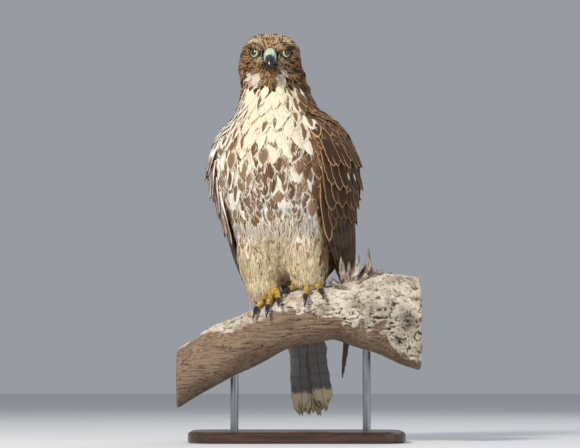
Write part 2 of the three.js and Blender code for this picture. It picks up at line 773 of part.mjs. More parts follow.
function wing(side) {
  const flight = FLIGHT_TIPS.map((_, index) => flightFeather(side, index));
  const coverts = COVERTS.flatMap((tier) => covertTier(side, tier));
  return joined([armPad(side), ...flight, ...coverts]);
}

// The tail

const TAIL = {
  pairs: 6, root: 34, rootY: 60, tip: -152, slope: 0.155, half: 12.5, spread: 2.7, first: 1.6, layer: 0.92,
};
// The rump and tail coverts: height; middle; half width and half depth.
const RUMP_ROWS = [
  [-34, 71.5, 19, 7],
  [-10, 67, 25, 10],
  [15, 62, 31, 15],
  [40, 56, 35, 19],
  [62, 48, 35, 21],
];
const RUMP = { steps: 6, sides: 18 };
const rumpSection = curveThrough(RUMP_ROWS);

function rumpShape() {
  const rings = [];
  for (let i = 0; i <= RUMP.steps; i += 1) {
    const height = mix(RUMP_ROWS[0][0], RUMP_ROWS[RUMP_ROWS.length - 1][0], i / RUMP.steps);
    const [middle, wide, deep] = rumpSection(height);
    rings.push(ringAround((angle) => new THREE.Vector3(
      wide * Math.sin(angle), middle - deep * Math.cos(angle), height,
    ), RUMP.sides));
  }
  return loft(rings);
}

// A tail feather: pair 0 is the middle one and lies behind the others, pair 5 the outermost.
function tailFeather(pair, side) {
  const level = pair * 2 + (side > 0 ? 1 : 0);
  const layers = TAIL.pairs * 2 - 1;
  const across = side * (TAIL.first + pair * TAIL.spread);
  const tip = TAIL.tip - (side < 0 ? 4 : 0) + pair * 0.7;
  const placeAt = (height, sideways, rise) => {
    const share = (TAIL.root - height) / (TAIL.root - TAIL.tip);
    const y = TAIL.rootY + (TAIL.root - height) * TAIL.slope + (layers / 2 - level) * TAIL.layer;
    return new THREE.Vector3(across * mix(0.45, 1, share) + sideways, y - rise, height);
  };
  return vane({ placeAt, root: TAIL.root, tip, half: TAIL.half, ends: BLUNT });
}

function tailSolid() {
  const pairs = Array.from({ length: TAIL.pairs }, (_, pair) => pair);
  const feathers = pairs.flatMap((pair) => [tailFeather(pair, -1), tailFeather(pair, 1)]);
  return joined([solid(rumpShape()), ...feathers]);
}

// The stand

const BASE = { wide: 270, deep: 176, high: 14, corner: 34, middleY: 8, bevel: 2.5 };
const RODS = [-78, 88];
const ROD_RADIUS = 5;

function basePlate() {
  const [w, d, r] = [BASE.wide / 2 - BASE.bevel, BASE.deep / 2 - BASE.bevel, BASE.corner];
  const outline = new THREE.Shape();
  outline.moveTo(-w + r, -d).lineTo(w - r, -d).absarc(w - r, -d + r, r, -Math.PI / 2, 0)
    .lineTo(w, d - r).absarc(w - r, d - r, r, 0, Math.PI / 2)
    .lineTo(-w + r, d).absarc(-w + r, d - r, r, Math.PI / 2, Math.PI)
    .lineTo(-w, -d + r).absarc(-w + r, -d + r, r, Math.PI, 1.5 * Math.PI);
  const geometry = new THREE.ExtrudeGeometry(outline, {
    depth: BASE.high - 2 * BASE.bevel, bevelEnabled: true, bevelThickness: BASE.bevel,
    bevelSize: BASE.bevel, bevelSegments: 1, curveSegments: 5,
  });
  geometry.translate(0, BASE.middleY, BASE.bevel);
  return geometry;
}

function rod(x) {
  const [middle] = branchSection(x);
  const geometry = new THREE.CylinderGeometry(ROD_RADIUS, ROD_RADIUS, middle - BASE.high - GAP, 16);
  geometry.rotateX(Math.PI / 2);
  geometry.translate(x, BRANCH_Y, (middle + BASE.high + GAP) / 2);
  return geometry;
}

// The whole, put together

const hawk = new THREE.Group();
const bird = new THREE.Group();
bird.applyMatrix4(birdMatrix);
const face = new THREE.Group();
face.applyMatrix4(headMatrix);
bird.add(face);
hawk.add(bird);

const { head, cere, hook, lower } = headNodes();
const headGrownInBird = solid(headShape(GAP), headMatrix);
face.add(
  named("head", head, COLOURS.brown),
  named("cere", cere, COLOURS.cere, { roughness: 0.5 }),
  named("bill_upper", hook, COLOURS.horn, { roughness: 0.3 }),
  named("bill_lower", lower, COLOURS.horn, { roughness: 0.35 }),
);
[-1, 1].forEach((side) => {
  const eye = solid(ball(EYE.radius, new THREE.Vector3(), undefined, 14, 8));
  const mesh = named(side > 0 ? "eye_left" : "eye_right", eye, COLOURS.iris, { roughness: 0.1 });
  mesh.position.copy(eyeMiddle(side));
  face.add(mesh);
});

const neckTop = BODY_ROWS[BODY_ROWS.length - 1][0];
const neck = solid(bodyLength(NECK_FOOT, neckTop)).subtract(headGrownInBird)
  .subtract(solid(lowerBill(GAP), headMatrix)).subtract(solid(billLength(0, 1, 9, GAP), headMatrix));
const torso = solid(bodyLength(BODY_ROWS[0][0], NECK_FOOT - GAP));
const tail = tailSolid().subtract(bodyGrown);
bird.add(
  named("neck", neck, COLOURS.cream),
  named("torso", torso, COLOURS.cream),
  named("tail", tail, COLOURS.tail),
);

const branchWhole = (off, matrix) => joined(
  [branchLength(off), ...SPLINTERS.map((one) => splinter(one, off))].map((piece) => solid(piece, matrix)),
);
const branchGrown = branchWhole(GAP);
const branchGrownInBird = branchWhole(GAP, birdInverse);
// A foot's pad and toes as one solid, grown by a distance and carried into another frame.
function footPieces({ x, toes }, off, matrix) {
  const size = new THREE.Vector3(FOOT_PAD.wide + off, FOOT_PAD.deep + off, FOOT_PAD.high + off);
  const pad = ball(1, branchPoint(x, 0, FOOT_PAD.rise), size, 12, 8);
  const grown = toes.map((toe) => {
    const { points, radii } = toePath(x, toe);
    return tubeAlong(points, radii.map((radius) => radius + off), TOE.sides);
  });
  return joined([pad, ...grown].map((piece) => solid(piece, matrix)));
}

const feetRoom = joined(FEET_ON_BRANCH.map((foot) => footPieces(foot, GAP)));
FEET_ON_BRANCH.forEach((foot) => {
  const { hand, side, x, toes } = foot;
  const flesh = footPieces(foot, 0).subtract(branchGrown);
  hawk.add(named(`foot_${hand}`, flesh, COLOURS.foot, { roughness: 0.6 }));
  toes.forEach((toe) => {
    const { points, radii } = clawPath(toe, toePath(x, toe));
    const claw = solid(tubeAlong(points, radii, CLAW.sides)).subtract(branchGrown).subtract(feetRoom);
    hawk.add(named(`claw_${hand}_${toe.name}`, claw, COLOURS.horn, { roughness: 0.3 }));
  });
  const leg = solid(legShape(side)).subtract(bodyGrown).subtract(footPieces(foot, GAP, birdInverse))
    .subtract(branchGrownInBird).subtract(wingRoom(side));
  bird.add(
    named(`leg_${hand}`, leg, COLOURS.buff),
    named(`wing_${hand}`, wing(side).subtract(branchGrownInBird), COLOURS.darkBrown),
  );
});

hawk.add(named("perch_branch", branchWhole(0), COLOURS.bark));
hawk.add(named("stand_base", solid(basePlate()), COLOURS.plinth, { roughness: 0.45 }));
RODS.forEach((x, i) => {
  const made = solid(rod(x)).subtract(branchGrown);
  hawk.add(named(`stand_rod_${i ? "right" : "left"}`, made, COLOURS.steel, { roughness: 0.3, metalness: 1 }));
});

export default hawk;
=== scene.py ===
import math
from functools import partial

import bmesh
import bpy
import numpy as np
from mathutils import Matrix, Vector, noise
from mathutils.bvhtree import BVHTree
from mathutils.kdtree import KDTree


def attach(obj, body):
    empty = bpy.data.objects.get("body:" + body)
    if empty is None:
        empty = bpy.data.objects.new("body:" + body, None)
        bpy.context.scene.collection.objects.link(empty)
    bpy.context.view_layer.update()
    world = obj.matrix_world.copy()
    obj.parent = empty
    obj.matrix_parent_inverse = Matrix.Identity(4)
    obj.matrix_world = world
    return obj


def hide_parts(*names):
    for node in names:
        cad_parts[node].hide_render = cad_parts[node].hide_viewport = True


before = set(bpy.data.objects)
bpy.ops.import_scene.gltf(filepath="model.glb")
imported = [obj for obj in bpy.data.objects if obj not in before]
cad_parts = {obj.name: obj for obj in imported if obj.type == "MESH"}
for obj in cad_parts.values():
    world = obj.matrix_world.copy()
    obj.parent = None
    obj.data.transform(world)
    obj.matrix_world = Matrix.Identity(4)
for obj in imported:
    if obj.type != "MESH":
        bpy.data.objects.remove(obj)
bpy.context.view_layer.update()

rng = np.random.default_rng(7)

# The camera stands a little above the floor, a few steps in front of the display, and looks slightly up at the
# hawk through a long lens.
camera = bpy.data.objects.new("camera", bpy.data.cameras.new("camera"))
bpy.context.collection.objects.link(camera)
camera.data.lens = 127.07
camera.data.sensor_width = 36
camera.location = (-0.0083, -2.592, 0.0716)
camera.rotation_euler = (math.radians(94.5), 0, 0)
bpy.context.scene.camera = camera

# The display's base is a rounded board of dark stained hardwood, sanded and finished with satin lacquer. The
# two posts are drawn steel rod, set in holes in the board and screwed up into the underside of the limb.


def finish_for(name, **sockets):
    """A new material and a short way to add its nodes: node(kind, inputs, **settings)."""
    material = bpy.data.materials.new(name)
    material.use_nodes = True
    tree = material.node_tree
    shader = tree.nodes["Principled BSDF"]
    for key, value in sockets.items():
        shader.inputs[key.replace("_", " ")].default_value = value

    def node(kind, inputs=None, **settings):
        made = tree.nodes.new("ShaderNode" + kind)
        for key, value in settings.items():
            setattr(made, key, value)
        for key, value in (inputs or {}).items():
            if isinstance(value, bpy.types.NodeSocket):
                tree.links.new(value, made.inputs[key])
            else:
                made.inputs[key].default_value = value
        return made.outputs

    def connect(socket, key):
        tree.links.new(socket, shader.inputs[key])

    return material, node, connect


def ramp(node, value, stops):
    """The colour that a value has on a scale of (place, colour) stops; a colour may be its code."""
    out = node("ValToRGB", {"Fac": value})
    scale = out[0].node.color_ramp
    while len(scale.elements) < len(stops):
        scale.elements.new(0.5)
    for element, (place, colour) in zip(scale.elements, stops):
        element.position = place
        element.color = four_of(colour)
    return out[0]


def hexed(code):
    """A colour from its six-figure code, as linear light."""
    parts = [int(code[i:i + 2], 16) / 255 for i in (0, 2, 4)]
    return tuple(p / 12.92 if p < 0.04045 else ((p + 0.055) / 1.055) ** 2.4 for p in parts)


def four_of(colour):
    """A colour's four numbers, from its code or from three numbers."""
    return (*(hexed(colour) if isinstance(colour, str) else colour), 1)


def blended(node, share, one, other, **settings):
    """Two colours mixed by a share, each from a node or a plain colour."""
    first, second = (c if isinstance(c, bpy.types.NodeSocket) else four_of(c) for c in (one, other))
    return node("Mix", {0: share, 6: first, 7: second}, data_type="RGBA", **settings)[2]


def grained(node, scale, detail, stretch=None, **more):
    """Noise fixed to the object, at a scale, or at a scale for each axis."""
    here = node("TexCoord")["Object"]
    if stretch:
        here = node("Mapping", {"Vector": here, "Scale": stretch})[0]
    return node("TexNoise", {"Vector": here, "Scale": scale, "Detail": detail, **more})[0]


def roughen(node, connect, height, strength, distance):
    """Small relief on the surface where height is high."""
    connect(node("Bump", {"Height": height, "Strength": strength, "Distance": distance})[0], "Normal")


def clothe(name, material):
    """Gives a CAD node's object the material in place of its own."""
    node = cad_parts[name]
    node.data.materials.clear()
    node.data.materials.append(material)
    return node


board_wood, node, connect = finish_for("stained_hardwood", Roughness=0.34, Coat_Weight=0.35, Coat_Roughness=0.22)
grain = grained(node, 5.5, 7, (3, 42, 30), Roughness=0.62, Distortion=0.5)
pores = grained(node, 3, 3, (14, 420, 300))
tone = ramp(node, grain, [(0.3, "241610"), (0.48, "3e261a"), (0.62, "573524"), (0.75, "2c1a12")])
in_pores = ramp(node, pores, [(0.36, (1, 1, 1)), (0.46, (0, 0, 0))])
connect(blended(node, in_pores, tone, "1a0f0a"), "Base Color")
roughen(node, connect, pores, 0.12, 0.0004)
clothe("stand_base", board_wood)

rod_steel, node, connect = finish_for("drawn_steel", Roughness=0.28, Metallic=1.0)
drawn = grained(node, 1.2, 4, (900, 900, 12))
smear = grained(node, 60, 3)
connect(ramp(node, drawn, [(0.3, "7d8085"), (0.7, "b4b7ba")]), "Base Color")
connect(ramp(node, smear, [(0.35, (0.22, 0.22, 0.22)), (0.7, (0.42, 0.42, 0.42))]), "Roughness")
roughen(node, connect, drawn, 0.15, 0.0002)
for name in ("stand_rod_left", "stand_rod_right"):
    clothe(name, rod_steel)

# The perch is a short length of a dead, weathered limb, sawn off at both ends. Thick grey-white bark still holds
# along its top and its stouter end in cracked plates, and has dropped off below, where the bare wood is brown and
# finely checked. The rods of the stand hold it from below.


def curve_through(rows):
    """A smooth curve through rows of (place, values), read at one place or at an array of places."""
    rows = np.array(rows, float)
    at, values = rows[:, 0], rows[:, 1:]
    here = np.arange(len(at))
    before, after = np.maximum(here - 1, 0), np.minimum(here + 1, len(at) - 1)
    slope = (values[after] - values[before]) / (at[after] - at[before])[:, None]

    def section(place):
        place = np.clip(np.asarray(place, float), at[0], at[-1])
        row = np.clip(np.searchsorted(at, place) - 1, 0, len(at) - 2)
        span = at[row + 1] - at[row]
        t = ((place - at[row]) / span)[..., None]
        span = span[..., None]
        found = ((2 * t**3 - 3 * t**2 + 1) * values[row] + (t**3 - 2 * t**2 + t) * span * slope[row]
                 + (3 * t**2 - 2 * t**3) * values[row + 1] + (t**3 - t**2) * span * slope[row + 1])
        return np.moveaxis(found, -1, 0)

    return section


def eased(value, low, high):
    """0 below low, 1 above high and a smooth step between."""
    t = np.clip((value - low) / (high - low), 0, 1)
    return t * t * (3 - 2 * t)


def mesh_piece(name, points, faces, materials, face_slots=None, smooth=True):
    """An object from points in millimetres and faces of one length, riding on the model's body."""
    points, faces = np.asarray(points, float), np.asarray(faces, np.int64)
    mesh = bpy.data.meshes.new(name)
    mesh.vertices.add(len(points))
    mesh.vertices.foreach_set("co", (points / 1000).astype(np.float32).ravel())
    mesh.loops.add(faces.size)
    mesh.loops.foreach_set("vertex_index", faces.ravel().astype(np.int32))
    mesh.polygons.add(len(faces))
    mesh.polygons.foreach_set("loop_start", np.arange(0, faces.size, faces.shape[1], dtype=np.int32))
    for material in materials:
        mesh.materials.append(material)
    if face_slots is not None:
        mesh.polygons.foreach_set("material_index", np.asarray(face_slots, np.int32))
    mesh.polygons.foreach_set("use_smooth", np.full(len(faces), smooth))
    mesh.update(calc_edges=True)
    made = bpy.data.objects.new(name, mesh)
    bpy.context.collection.objects.link(made)
    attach(made, "root")
    return made


def painted(piece, name, values):
    """Stores a number or a colour at each point of a piece, for its material to read."""
    values = np.asarray(values, np.float32)
    if values.ndim == 1:
        piece.data.attributes.new(name, "FLOAT", "POINT").data.foreach_set("value", values)
    elif values.shape[1] == 3 and name.isupper():
        piece.data.attributes.new(name, "FLOAT_VECTOR", "POINT").data.foreach_set("vector", values.ravel())
    else:
        four = np.concatenate([values, np.ones((len(values), 1), np.float32)], 1)
        piece.data.attributes.new(name, "FLOAT_COLOR", "POINT").data.foreach_set("color", four.ravel())


def tube_faces(rings, sides):
    """Quads between rings of points, one after another, that close round."""
    ring, side = np.meshgrid(np.arange(rings - 1), np.arange(sides), indexing="ij")
    next_side = (side + 1) % sides
    quads = np.stack([ring * sides + side, ring * sides + next_side,
                      (ring + 1) * sides + next_side, (ring + 1) * sides + side], -1)
    return quads.reshape(-1, 4)


def round_angles(sides):
    return np.arange(sides) * 2 * np.pi / sides


def band(first, second, sides):
    """Quads between two rings of points, from the number of each ring's first point."""
    here = np.arange(sides)
    onward = (here + 1) % sides
    return np.stack([first + here, first + onward, second + onward, second + here], -1)


def end_cap(first, sides):
    """Quads that fill a ring of an even number of points."""
    return [[first + j, first + j + 1, first + sides - 2 - j, first + sides - 1 - j] for j in range(sides // 2 - 1)]


def near(*rows):
    """1 at a middle and fading to 0 round it, from rows of (value, middle, width)."""
    return np.exp(-sum(((value - middle) / width) ** 2 for value, middle, width in rows))


# A place along the limb, then the height of its middle, half its height and half its depth.
limb = curve_through([
    [-150, 79, 36.5, 30], [-112, 102, 38.5, 33], [-65, 125.5, 36.5, 33], [-34, 143, 37.5, 34],
    [-3, 154.5, 36, 35], [29, 160, 35.5, 35], [50, 162, 35, 36], [82, 161, 45, 43],
    [113, 159, 52, 49], [155, 147, 60, 54],
])
LIMB_Y = -12


def limb_point(x, angle, off=0.0):
    """A point off the limb, its angle from the top towards the front."""
    middle, high, deep = limb(x)
    lump = (1 + 0.02 * np.sin(3 * angle + x / 23) + 0.018 * np.sin(5 * angle - x / 14 + 1)
            + 0.012 * np.sin(x / 9 + 2 * angle))
    return np.stack([x + 0 * angle, LIMB_Y - (deep * lump + off) * np.sin(angle),
                     middle + (high * lump + off) * np.cos(angle)], -1)


LIMB_FROM, LIMB_TO = -150, 155
limb_steps, limb_sides = 300, 232
X, A = np.meshgrid(np.linspace(LIMB_FROM, LIMB_TO, limb_steps + 1), round_angles(limb_sides), indexing="ij")
places = limb_point(X, A).reshape(-1, 3)
lean = np.degrees((A.ravel() + np.pi) % (2 * np.pi) - np.pi)
along = X.ravel()


def noise_at(points, scale, octaves=3, shift=0.0):
    """Fractal noise, about -1 to 1, at each point; scale is its size in mm, or one size for each axis."""
    scaled = points / np.asarray(scale, float) + shift
    return np.array([noise.fractal(Vector(p), 0.7, 2.1, octaves) for p in scaled])


patchy = noise_at(places, 34, 3)
drift = noise_at(places, 9, 2, 7.0)
bark_edge = np.interp(along, [-150, -112, -95, -62, -20, 40, 68, 155], [20, 8, 34, 58, 78, 84, 118, 132])
bark = eased(bark_edge + 34 * patchy + 10 * drift - np.abs(lean - 8), -3, 5)
warped = places + np.stack([9 * drift, 5 * patchy, 4 * drift], -1)
gap = np.empty(len(places))
plate = np.empty(len(places))
for i, p in enumerate(warped / (27, 8.5, 8.5)):
    distances, cells = noise.voronoi(Vector(p))
    gap[i] = distances[1] - distances[0]
    plate[i] = noise.cell(cells[0] * 9)
flake = noise_at(places, (11, 3.4, 3.4), 3, 17.0)
# The cracks between the plates are sunk into the bark, and the same mask darkens them in the material as painted shade.
crack = near((gap, 0, 0.06 + 0.03 * patchy)) * bark * eased(drift + 0.2, 0, 0.4)
crack = np.maximum(crack, bark * eased(-flake, 0.45, 0.62))
fibre = noise_at(places, (46, 2.3, 2.3), 3)
checks = near((noise_at(places, (70, 6, 6), 2, 3.0), 0, 0.035)) * (1 - bark)
rough = noise_at(places, 3.2, 2, 11.0)
hollow = near((along, 139, 15), (lean, 92, 17))
under_foot = np.maximum(near((along, -29, 22)), near((along, 13, 24))) * (np.abs(lean) < 66)
rise = (bark * (0.8 + 1.2 * plate + 0.7 * rough + 1.5 * flake) - 2.8 * crack + 0.4 * fibre * (1 - bark) - 1.1 * checks
        + 1.4 * (bark * (1 - bark) * 4) * drift)
rise = rise * (1 - 0.6 * under_foot) - 0.5 * under_foot - 6 * hollow - 0.9
rise -= 1.6 * np.exp(-np.minimum(along - LIMB_FROM, LIMB_TO - along) / 1.2)
skin_of_limb = limb_point(along, np.radians(lean), rise)

cut_rings = 14
cut_points, cut_faces = [], []
for end, x, first in ((-1, LIMB_FROM, 0), (1, LIMB_TO, limb_steps * limb_sides)):
    rim = skin_of_limb[first:first + limb_sides]
    middle = rim.mean(0) + (0, 4, 3)
    start = len(skin_of_limb) + len(cut_points) * cut_rings * limb_sides
    shares = np.linspace(1, 0.02, cut_rings + 1)[1:]
    discs = middle + (rim - middle) * shares[:, None, None]
    discs[..., 0] = x + end * (-0.25 + 0.18 * np.sin(discs[..., 2] / 1.3))
    cut_points.append(discs.reshape(-1, 3))
    both = np.concatenate([band(first, start, limb_sides), tube_faces(cut_rings, limb_sides) + start])
    cut_faces.append(both if end > 0 else both[:, ::-1])
outer_faces = tube_faces(limb_steps + 1, limb_sides)
limb_faces = np.concatenate([outer_faces, *cut_faces])
limb_slots = np.concatenate([np.zeros(len(outer_faces)), np.ones(sum(len(f) for f in cut_faces))])

dead_bark, node, connect = finish_for("weathered_bark_and_wood", Roughness=0.88, Specular_IOR_Level=0.25)
barked = node("Attribute", attribute_name="bark")["Fac"]
dark = node("Attribute", attribute_name="crack")["Fac"]
speckle = grained(node, 420, 6, Roughness=0.7)
blotch = grained(node, 46, 5, Roughness=0.6)
streaks = grained(node, 1, 6, (28, 620, 620), Roughness=0.6, Distortion=0.3)
bark_tone = ramp(node, blotch, [(0.3, "94877b"), (0.44, "c4b8a8"), (0.6, "e6dccd"), (0.75, "b5a28b")])
bark_fine = ramp(node, speckle, [(0.3, (0.42, 0.36, 0.3)), (0.46, (0.92, 0.9, 0.87)), (0.7, (1.12, 1.1, 1.08))])
bark_colour = blended(node, 0.85, bark_tone, bark_fine, blend_type="MULTIPLY")
wood_tone = ramp(node, streaks, [(0.22, "4c3c32"), (0.42, "7d6857"), (0.58, "9c8670"), (0.76, "6d5847")])
wood_stain = ramp(node, blotch, [(0.3, (0.62, 0.55, 0.5)), (0.65, (1.1, 1.07, 1.02))])
wood_colour = blended(node, 0.5, wood_tone, wood_stain, blend_type="MULTIPLY")
# The near-black brought in here is painted shade in the bark's cracks, in the checks of the bare wood and in the
# hollow.
connect(blended(node, dark, blended(node, barked, wood_colour, bark_colour), "2b211b"), "Base Color")
roughen(node, connect, node("Math", {0: streaks, 1: speckle}, operation="ADD")[0], 0.55, 0.0009)

sawn_wood, node, connect = finish_for("sawn_end_grain", Roughness=0.82, Specular_IOR_Level=0.25)
from_pith = {"Vector": node("TexCoord")["Object"], "Location": (0, 0.008, -0.115), "Scale": (0, 1, 1)}
centred = node("Mapping", from_pith)[0]
rings = node("TexWave", {"Vector": centred, "Scale": 88, "Distortion": 3.4, "Detail": 4, "Detail Scale": 1.1},
             wave_type="RINGS", rings_direction="X")[0]
kerf = grained(node, 1, 4, (1, 60, 900))
end_tone = ramp(node, rings, [(0.2, "917a61"), (0.55, "a68c6e"), (0.85, "b09777")])
saw_marks = ramp(node, kerf, [(0.35, (0.6, 0.56, 0.5)), (0.65, (1.1, 1.08, 1.05))])
connect(blended(node, 0.45, end_tone, saw_marks, blend_type="MULTIPLY"), "Base Color")
roughen(node, connect, kerf, 0.4, 0.0006)

perch_points = np.concatenate([skin_of_limb, *cut_points])
perch = mesh_piece("perch_limb", perch_points, limb_faces, [dead_bark, sawn_wood], limb_slots)
on_cuts = np.zeros(len(perch_points) - len(skin_of_limb))
painted(perch, "bark", np.concatenate([bark, on_cuts]))
# Painted shade: the cracks, the checks and the hollow are darkened as if shade falls in these recesses.
painted(perch, "crack", np.concatenate([np.clip(crack * 0.9 + checks * 0.8 + hollow * 0.75, 0, 1), on_cuts]))
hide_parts("perch_branch")

# Splinters of bare and part-barked wood stand at the stout end of the limb, where a side branch tore out. Each is
# a tapering shard with ragged sides, grown from the limb. Below are its place along the limb, its angle from the
# top, its lean to the side and to the back, its length, its width and its depth.
SPLINTERS = [
    (62, 4, (-5, 2), 25, 6, 3), (72, 8, (4, 0), 22, 5, 4), (79, -6, (10, 3), 17, 5, 3),
    (96, -22, (-6, 4), 30, 3.0, 2.8), (64, 34, (-21, -4), 7, 4, 4), (68, -12, (-3, 5), 16, 3, 2),
    (84, 14, (19, -3), 9, 5, 3), (90, 2, (17, 1), 6, 5, 4),
    (103, -8, (15, 1), 4, 5, 3), (76, 20, (13, -5), 8, 4, 3), (57, 18, (-14, -3), 5, 4, 3), (66, 2, (0, 1), 19, 3, 5),
    (74, 26, (24, -6), 3, 4, 3), (88, 30, (26, -5), 1, 4, 3), (70, 40, (-16, -6), 2, 4, 3),
]
splinter_rings, splinter_sides = 12, 10
splinter_points, splinter_faces = [], []
for x, angle, lean_of, length, wide, deep in SPLINTERS:
    root = limb_point(float(x), math.radians(angle), -5.0)
    t = np.linspace(0, 1, splinter_rings)[:, None]
    a = round_angles(splinter_sides)[None]
    torn = 1 + 0.3 * np.sin(2 * a + x) + 0.2 * np.sin(5 * a - x / 3 + 5 * t) + 0.1 * np.sin(17 * t + 3 * a)
    size = (1 - 0.42 * t**2) * torn
    jag = 1 + 0.4 * t**3 * np.sin(2 * a + x) * np.cos(3 * a + x / 5)
    ring_points = np.stack([root[0] + lean_of[0] * t + wide * size * np.cos(a),
                            root[1] + lean_of[1] * t + deep * size * np.sin(a),
                            root[2] + (length + 5) * t * jag], -1).reshape(-1, 3)
    start = sum(len(p) for p in splinter_points)
    tip = start + (splinter_rings - 1) * splinter_sides
    splinter_points.append(ring_points)
    splinter_faces += [tube_faces(splinter_rings, splinter_sides) + start, np.array(end_cap(tip, splinter_sides))]
torn_wood = np.concatenate(splinter_points)
splinters = mesh_piece("perch_splinters", torn_wood, np.concatenate(splinter_faces), [dead_bark])
painted(splinters, "bark", np.clip(0.5 + 1.4 * noise_at(torn_wood, (5, 5, 12), 2), 0, 1))
# The dark streaks along each splinter are painted shade, standing for shaded fissures that the shards' surfaces do not
# have.
painted(splinters, "crack", np.clip(3 * noise_at(torn_wood, (1.8, 1.8, 16), 2, 4.0) - 0.15, 0, 0.85))

# The skin is one piece from the bill to the shanks: a hide drawn over a carved body form, which the feathers
# grow from. It lies inside the outline by the depth of the plumage, and is thinnest over the face.


def turned(axis, degrees):
    c, s = math.cos(math.radians(degrees)), math.sin(math.radians(degrees))
    return np.array({"y": [[c, 0, s], [0, 1, 0], [-s, 0, c]], "z": [[c, -s, 0], [s, c, 0], [0, 0, 1]]}[axis])


BIRD_TURN = turned("y", -3) @ turned("z", -18)
PERCHED_AT = np.array([-12, 0, 192])
HEAD_AT = BIRD_TURN @ [-1, -16, 291] + PERCHED_AT


def placed(points):
    """Points of the bird's own frame (x to its left, y back, z up from the feet) as places in the display."""
    return points @ BIRD_TURN.T + PERCHED_AT


def in_bird(places):
    return (places - PERCHED_AT) @ BIRD_TURN


def signed_power(value, power):
    return np.sign(value) * np.abs(value) ** power


def unit(vectors, least=0.0):
    """Each vector at length 1; least keeps a vector of no length from dividing by 0."""
    return vectors / (np.linalg.norm(vectors, axis=-1, keepdims=True) + least)


# Height, then the middle's place from front to back, half the width, and the depth in front and behind.
body_form = curve_through([
    [10, 44, 34, 32, 28], [24, 40, 50, 50, 34], [45, 34, 62, 66, 40], [70, 27, 70, 76, 46], [100, 19, 77, 82, 50],
    [130, 13, 81, 84, 51], [160, 8, 81, 82, 50], [185, 5, 76, 75, 48], [205, 3, 67, 66, 46], [220, 1, 58, 57, 45],
    [233, -2, 51, 50, 44], [247, -6, 46, 45, 42], [262, -10, 43, 38, 40], [283, -13, 38, 26, 36],
])
# The same for the bed that the folded wings lie on.
wing_bed = curve_through([
    [-125, 77, 38, 36, 30], [-80, 69, 48, 38, 32], [-40, 62, 57, 40, 34], [0, 50, 66, 46, 36], [30, 38, 71, 57, 41],
    [60, 30, 75, 70, 44], [100, 19, 78, 82, 50], [130, 13, 81, 84, 51], [160, 8, 81, 82, 50], [185, 5, 76, 75, 48],
    [205, 3, 67, 66, 46], [220, 1, 58, 57, 45], [233, -2, 51, 50, 44], [247, -6, 46, 45, 42],
])
# Height, then the angles where the folded wing begins and ends, and how full it is.
wing_arm = curve_through([
    [106, 50, 178.8, 0.76], [122, 49, 179, 1], [150, 48, 179, 1.06], [180, 47, 179, 1], [200, 51, 179, 0.78],
    [213, 60, 176, 0.46], [224, 76, 160, 0.1],
])
# Height, then the middle from front to back, half the width and half the depth.
rump = curve_through([[-34, 71.5, 19, 7], [-10, 67, 25, 10], [15, 62, 31, 15], [40, 56, 35, 19], [62, 48, 35, 21]])


def bed_point(side, height, angle, off):
    """A point off the bed that a folded wing lies on: angle from the breast towards the wing's side."""
    def at(h, a):
        middle, half, front, back = wing_bed(h)
        c, s = np.cos(a), np.sin(a)
        depth = np.where(c > 0, front, back)
        return np.stack([half * signed_power(s, 1 / 1.1), middle - depth * signed_power(c, 1 / 1.1), h + 0 * a], -1)

    height, angle = np.broadcast_arrays(np.asarray(height, float), np.asarray(angle, float))
    round_it, up_it = at(height, angle + 0.03) - at(height, angle - 0.03), at(height + 2, angle) - at(height - 2, angle)
    out = unit(np.cross(round_it, up_it))
    point = at(height, angle) + out * np.asarray(off, float)[..., None]
    point[..., 0] *= side
    return point


def closed_form(form, rings, sides):
    """Adds a closed tube of rings of points, in the bird's frame, to a form under construction."""
    verts = [form.verts.new(Vector(p) / 1000) for p in placed(rings.reshape(-1, 3))]
    for quad in tube_faces(len(rings), sides):
        form.faces.new([verts[i] for i in quad])
    form.faces.new(verts[:sides][::-1])
    form.faces.new(verts[-sides:])


ARM_SIDES, RUMP_SIDES, SHANK_SIDES, BROW_SIDES = 32, 24, 12, 10
FEET = ((-1, -28.0), (1, 15.0))
hide_form = bmesh.new()
for name in ("head", "neck", "torso", "leg_left", "leg_right"):
    hide_form.from_mesh(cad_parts[name].data)
for side in (-1, 1):
    rings = []
    for height in np.linspace(104, 224, 14):
        front, back, full = wing_arm(height)
        share = np.linspace(0, 1, ARM_SIDES // 2)
        angle = np.radians(front + (back - front) * share)
        rounding = 0.15 + 0.85 * np.minimum(1, share / 0.22) ** 0.6
        outer = bed_point(side, height, angle, 0.9 + full * rounding * (9.5 + 11 * share))
        inner = bed_point(side, height, angle, np.full(ARM_SIDES // 2, -9.0))[::-1]
        rings.append(np.concatenate([outer, inner]))
    closed_form(hide_form, np.array(rings), ARM_SIDES)
rings = []
for height in np.linspace(-34, 62, 10):
    middle, wide, deep = rump(height)
    angle = round_angles(RUMP_SIDES)
    rings.append(np.stack([wide * np.sin(angle), middle - deep * np.cos(angle), height + 0 * angle], -1))
closed_form(hide_form, np.array(rings), RUMP_SIDES)
for side, foot_x in FEET:
    shank_top = placed(np.array([side * 31.0, -4, 12]))
    ankle = limb_point(foot_x, 0.0, 7.0)
    path = np.linspace(shank_top, ankle, 5)
    angle = round_angles(SHANK_SIDES)
    tube = np.array([p + np.stack([6.4 * np.cos(angle), 6.4 * np.sin(angle), 0 * angle], -1) for p in path])
    closed_form(hide_form, in_bird(tube), SHANK_SIDES)
